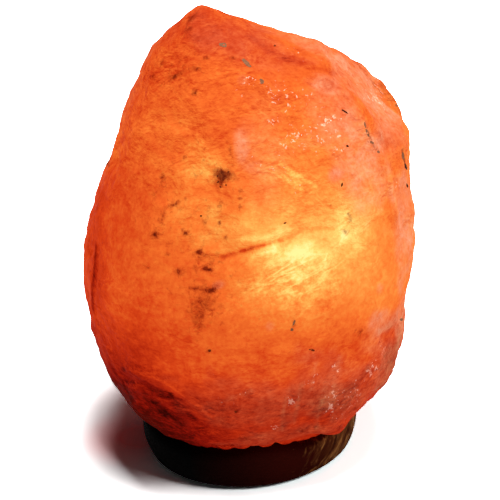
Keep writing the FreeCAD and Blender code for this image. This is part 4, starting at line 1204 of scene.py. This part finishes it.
# Finishes: name: (dark colour, light colour, roughness span, metal, grain in mm, depth in mm, nodes)
PIECE_FINISHES = {
    "felt": ((14, 17, 15), (48, 54, 50), (0.9, 1.0), 0, 0.7, 0.35, ("felt_ring",)),
    "zinc": ((150, 150, 146), (196, 197, 196), (0.28, 0.5), 1, 5.0, 0.01,
             ("clip_plate", "clip_rivets", "clip_roots", "terminal_screws")),
    "spring_steel": ((96, 96, 98), (150, 150, 150), (0.22, 0.42), 1, 3.0, 0.01,
                     ("spring_clip_1", "spring_clip_2", "spring_clip_3")),
    "bakelite": ((14, 12, 11), (28, 25, 23), (0.28, 0.46), 0, 2.5, 0.03,
                 ("holder_body", "holder_cap")),
    "nylon": ((205, 198, 178), (232, 227, 212), (0.4, 0.55), 0, 2.0, 0.04, ("anchor_plugs",)),
    "brass": ((150, 106, 48), (214, 172, 98), (0.22, 0.45), 1, 3.5, 0.01,
              ("centre_contact", "neutral_contact", "terminal_blocks")),
    "solder": ((120, 122, 124), (186, 188, 190), (0.25, 0.5), 1, 0.8, 0.08, ("bulb_tip_contact",)),
    "black_glass": ((6, 6, 8), (16, 16, 20), (0.06, 0.14), 0, 2.0, 0.02, ("bulb_insulator",)),
    "lead_wire": ((120, 74, 50), (186, 124, 88), (0.25, 0.4), 1, 0.6, 0.01, ("lead_wires",)),
}


def finish_paint(name, dark, light, rough, metal, grain, depth):
    """A finish that varies between two colours and two roughnesses, finely bumped."""
    paint = Paint(name, Metallic=metal)
    cloudy = paint.noise(paint.place(), grain * MM, 4, 0.6, 0.4)
    fine = paint.noise(paint.place(), 0.25 * grain * MM, 3, 0.6)
    mixed = paint.scale(paint.sum(cloudy, fine), 0.75, 1.25)
    paint.colour(paint.mix(mixed, linear(*dark), linear(*light)))
    paint.set_input(paint.shader, "Roughness", paint.scale(cloudy, 0.35, 0.65, *rough))
    paint.bump(paint.sum(fine, cloudy), depth * MM)
    return paint


def glass_paint():
    """Clear lamp glass."""
    glass = Paint("clear_glass", roughness=0.02, IOR=1.45, Transmission_Weight=1.0)
    waves = glass.noise(glass.place(), 9 * MM, 2)
    glass.colour(glass.mix(waves, (0.96, 0.98, 0.97, 1), (1, 1, 1, 1)))
    glass.bump(waves, 0.05 * MM)
    return glass


def filament_paint():
    """Tungsten wire, lit."""
    lit = Paint("lit_tungsten", roughness=0.5, Metallic=1.0)
    warm = lit.noise(lit.place(), 0.6 * MM, 2)
    lit.colour(lit.mix(warm, linear(90, 80, 70), linear(130, 120, 110)))
    lit.glow(lit.mix(warm, linear(255, 170, 80), linear(255, 225, 150)), 4.0)
    return lit


def paint_pieces():
    """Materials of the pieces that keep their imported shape."""
    dress(wood_paint(), "wood_base")
    for name, (*look, node_names) in PIECE_FINISHES.items():
        dress(finish_paint(name, *look), *node_names)
    dress(glass_paint(), "bulb_glass", "bulb_stem")
    dress(filament_paint(), "filament")


# ---- threaded pieces ----

CAP_PITCH, CAP_THREAD = 2.82 * MM, 0.5 * MM
SCREW_PITCH, SCREW_THREAD = 1.6 * MM, 0.45 * MM
TURN_STEPS = 10  # rings to a turn of thread
TUBE_SIDES, SCREW_SIDES = 64, 40
RUN_OUT = 1.2 * MM  # a thread fades over this height
CLOSE = 0.01 * MM
SCREW_TIP = 0.05 * MM
SLOT_WIDTH, SLOT_DEPTH = 1.0 * MM, 1.2 * MM


def profile_of(node_name):
    """The distance from the axis, and the height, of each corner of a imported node."""
    points = points_of(nodes[node_name].data)
    return np.hypot(points[:, 0], points[:, 1]), points[:, 2]


def steps_between(low, high, pitch):
    """Heights up a thread."""
    return np.linspace(low, high, int((high - low) / pitch * TURN_STEPS) + 1)


def fading(height, low, high):
    """How deep a thread is at a height: it fades out towards both ends."""
    return float(smooth_step(0, RUN_OUT, min(height - low, high - height)))


def threaded_tube(name, rings, depth):
    """A tube with the thread of the bulb's cap."""
    return turned_mesh(name, rings, TUBE_SIDES, depth=depth, pitch=CAP_PITCH, hollow=True)


def replace_node(name, node_name, mesh, body, paint):
    """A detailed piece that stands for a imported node."""
    piece = new_object(name, mesh)
    mesh.materials.append(paint.material)
    mesh.shade_smooth()
    mesh.set_sharp_from_angle(angle=math.radians(35))
    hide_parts(node_name)
    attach(piece, body)
    return piece


def make_bulb_screw_cap():
    """The bulb's screw cap, rolled to a thread, with its flared rim."""
    reach, height = profile_of("bulb_cap")
    low, high = height.min(), height.max()
    at_low = reach[height < low + CLOSE]
    radius, inner = at_low.max(), at_low.min()
    straight = height[np.abs(reach - radius) < CLOSE].max()
    flare = reach.max() - radius
    heights = steps_between(low, high, CAP_PITCH)
    spread = [flare * max(0, z - straight) / (high - straight) for z in heights]
    shares = [fading(z, low, straight) for z in heights]
    outside = [(radius + out, z, share) for z, out, share in zip(heights, spread, shares)]
    inside = [(outer - radius + inner, z, share) for outer, z, share in outside]
    mesh = threaded_tube("screw_cap", outside + inside[::-1], CAP_THREAD)
    nickel = finish_paint("nickel", (150, 147, 140), (208, 204, 196), (0.18, 0.36), 1, 3.0, 0.01)
    replace_node("screw_cap", "bulb_cap", mesh, "bulb", nickel)


def make_screw_shell():
    """The holder's brass shell, rolled to a thread, on its flange."""
    reach, height = profile_of("thread_shell")
    low, high = height.min(), height.max()
    at_rim = reach[height > high - CLOSE]
    floor_top = height[reach > at_rim.max() + 0.2 * MM].max()
    heights = steps_between(floor_top, high, CAP_PITCH)
    outside = [(at_rim.max(), z, fading(z, floor_top, high)) for z in heights]
    inside = [(at_rim.min(), z, share) for _, z, share in outside]
    flange = [(reach.min(), low, 0), (reach.max(), low, 0), (reach.max(), floor_top, 0)]
    rings = flange + outside + inside[::-1] + [(reach.min(), floor_top, 0)]
    mesh = threaded_tube("screw_shell", rings, 0.6 * CAP_THREAD)
    brass = finish_paint("shell_brass", (160, 116, 54), (218, 176, 102), (0.2, 0.4), 1, 3.0, 0.01)
    replace_node("screw_shell", "thread_shell", mesh, "holder", brass)


def make_base_screws():
    """Three countersunk wood screws with cross recesses."""
    front, circle = front_one("crystal_screws", SCREW_REACH)
    reach, height = np.hypot(front[:, 0], front[:, 1] + circle), front[:, 2]
    low, high, head = height.min(), height.max(), reach.max()
    shank = np.median(reach[(height > low + 1 * MM) & (reach > 0.5 * MM)])
    on_shank = height[np.abs(reach - shank) < 0.05 * MM]
    start, end = on_shank.min(), on_shank.max()
    heights = steps_between(start, end, SCREW_PITCH)
    no_fade = 2 * end  # so that the thread runs to the tip
    thread = [(shank, z, fading(z, start, no_fade)) for z in heights]
    rings = [(head, low, 0)] + thread + [(SCREW_TIP, high, 0)]
    work = bmesh.new()
    for turn in FIXINGS:
        centre = (circle * math.cos(turn), circle * math.sin(turn))
        mesh = turned_mesh("screw", rings, SCREW_SIDES, centre, SCREW_THREAD, SCREW_PITCH)
        screw = new_object("screw", mesh)
        for quarter in (0, 1):
            cut_slot(screw, (*centre, low), 1.3 * head, turn + quarter * math.pi / 2)
        work.from_mesh(screw.data)
        bpy.data.objects.remove(screw)
    zinc = finish_paint("yellow_zinc", (150, 132, 92), (206, 190, 140), (0.24, 0.42), 1, 2.0, 0.01)
    replace_node("base_screws", "crystal_screws", mesh_from("base_screws", work), "lamp", zinc)


def cut_slot(item, middle, length, turn):
    """Cut a slot into the low face of an object."""
    work = bmesh.new()
    bmesh.ops.create_cube(work, size=1)
    shape = Matrix.Diagonal((length, SLOT_WIDTH, 2 * SLOT_DEPTH, 1))
    place = Matrix.Translation(middle) @ Matrix.Rotation(turn, 4, "Z") @ shape
    bmesh.ops.transform(work, matrix=place, verts=work.verts)
    cut_away(item, mesh_from("slot", work))


# ---- floor and light ----


def seen_plainly(tree):
    """1 for rays from the camera, off a gloss or through glass, which show a white background."""
    path = tree.nodes.new("ShaderNodeLightPath").outputs
    total = path["Is Camera Ray"]
    for kind in ("Is Glossy Ray", "Is Transmission Ray"):
        most = tree.nodes.new("ShaderNodeMath")
        most.operation = "MAXIMUM"
        tree.links.new(path[kind], most.inputs[0])
        tree.links.new(total, most.inputs[1])
        total = most.outputs[0]
    return total


FLOOR_REACH = 6.0
FLOOR_BRIGHT = (0.15, 1.2, 2.2, 9.0)  # near and far edge, and the colour's value at each
RED_SPOT = (-56 * MM, 10 * MM, 0)  # middle of the salt's red light on the floor
RED_RING = (0.010, 0.032, 0.35, 1.0)  # the same round the spot, for green and blue
COOL_RING = (0.05, 0.11, 1.0, 1.12)
BOUNCE = (0.5, 0.5, 0.5, 1)  # the floor's colour for the light that it throws back


def make_floor():
    """A wide white floor, which keeps only the deep part of the shadow in the picture."""
    mesh = bpy.data.meshes.new("floor")
    ends = (-FLOOR_REACH, FLOOR_REACH)
    mesh.from_pydata([(x, y, 0) for x in ends for y in ends], [], [(0, 2, 3, 1)])
    floor = new_object("floor", mesh)
    paint = Paint("floor", roughness=1.0, Specular_IOR_Level=0.0)
    bright = paint.scale(paint.vector("LENGTH", paint.place(), output="Value"), *FLOOR_BRIGHT)
    from_spot = paint.vector("SUBTRACT", paint.place(), RED_SPOT)
    red_light_distance = paint.vector("LENGTH", from_spot, output="Value")
    # painted red light: green and blue drop near the spot
    cool = paint.times(bright, paint.scale(red_light_distance, *RED_RING))
    cool = paint.times(cool, paint.scale(red_light_distance, *COOL_RING))
    pale = paint.add("ShaderNodeCombineColor", Red=bright, Green=cool, Blue=cool).outputs[0]
    paint.colour(paint.mix(seen_plainly(paint.tree), BOUNCE, pale))
    mesh.materials.append(paint.material)


LAMP_SIZE = 0.4


def add_lamp(name, place, aim, power):
    """A soft square lamp."""
    data = bpy.data.lights.new(name, "AREA")
    data.size = LAMP_SIZE
    data.energy = power
    lamp = new_object(name, data)
    lamp.location = place
    lamp.rotation_euler = (Vector(aim) - Vector(place)).to_track_quat("-Z", "Y").to_euler()


WORLD_LIGHT = 0.02


def make_light():
    """A dim world, a wide lamp above and to the right, and a key from the right front."""
    world = bpy.data.worlds.new("studio")
    bpy.context.scene.world = world
    world.use_nodes = True
    tree = world.node_tree
    background = tree.nodes["Background"].inputs
    background["Color"].default_value = (1, 1, 1, 1)
    span = tree.nodes.new("ShaderNodeMapRange")
    span.inputs["To Min"].default_value = WORLD_LIGHT
    tree.links.new(seen_plainly(tree), span.inputs["Value"])
    tree.links.new(span.outputs["Result"], background["Strength"])
    add_lamp("above", (0.1, -0.18, 1.1), (0, 0, 0), 16)
    add_lamp("key", (0.9, -0.56, 0.8), TARGET, 10)


# ---- build ----

make_camera()
crystal = make_crystal()
crystal_tree = surface_tree(crystal.data)
paint_crystal(crystal, crystal_tree)
make_inclusions(crystal_tree)
paint_pieces()
make_bulb_screw_cap()
make_screw_shell()
make_base_screws()
make_floor()
make_light()
bpy.context.scene.view_settings.view_transform = "Standard"
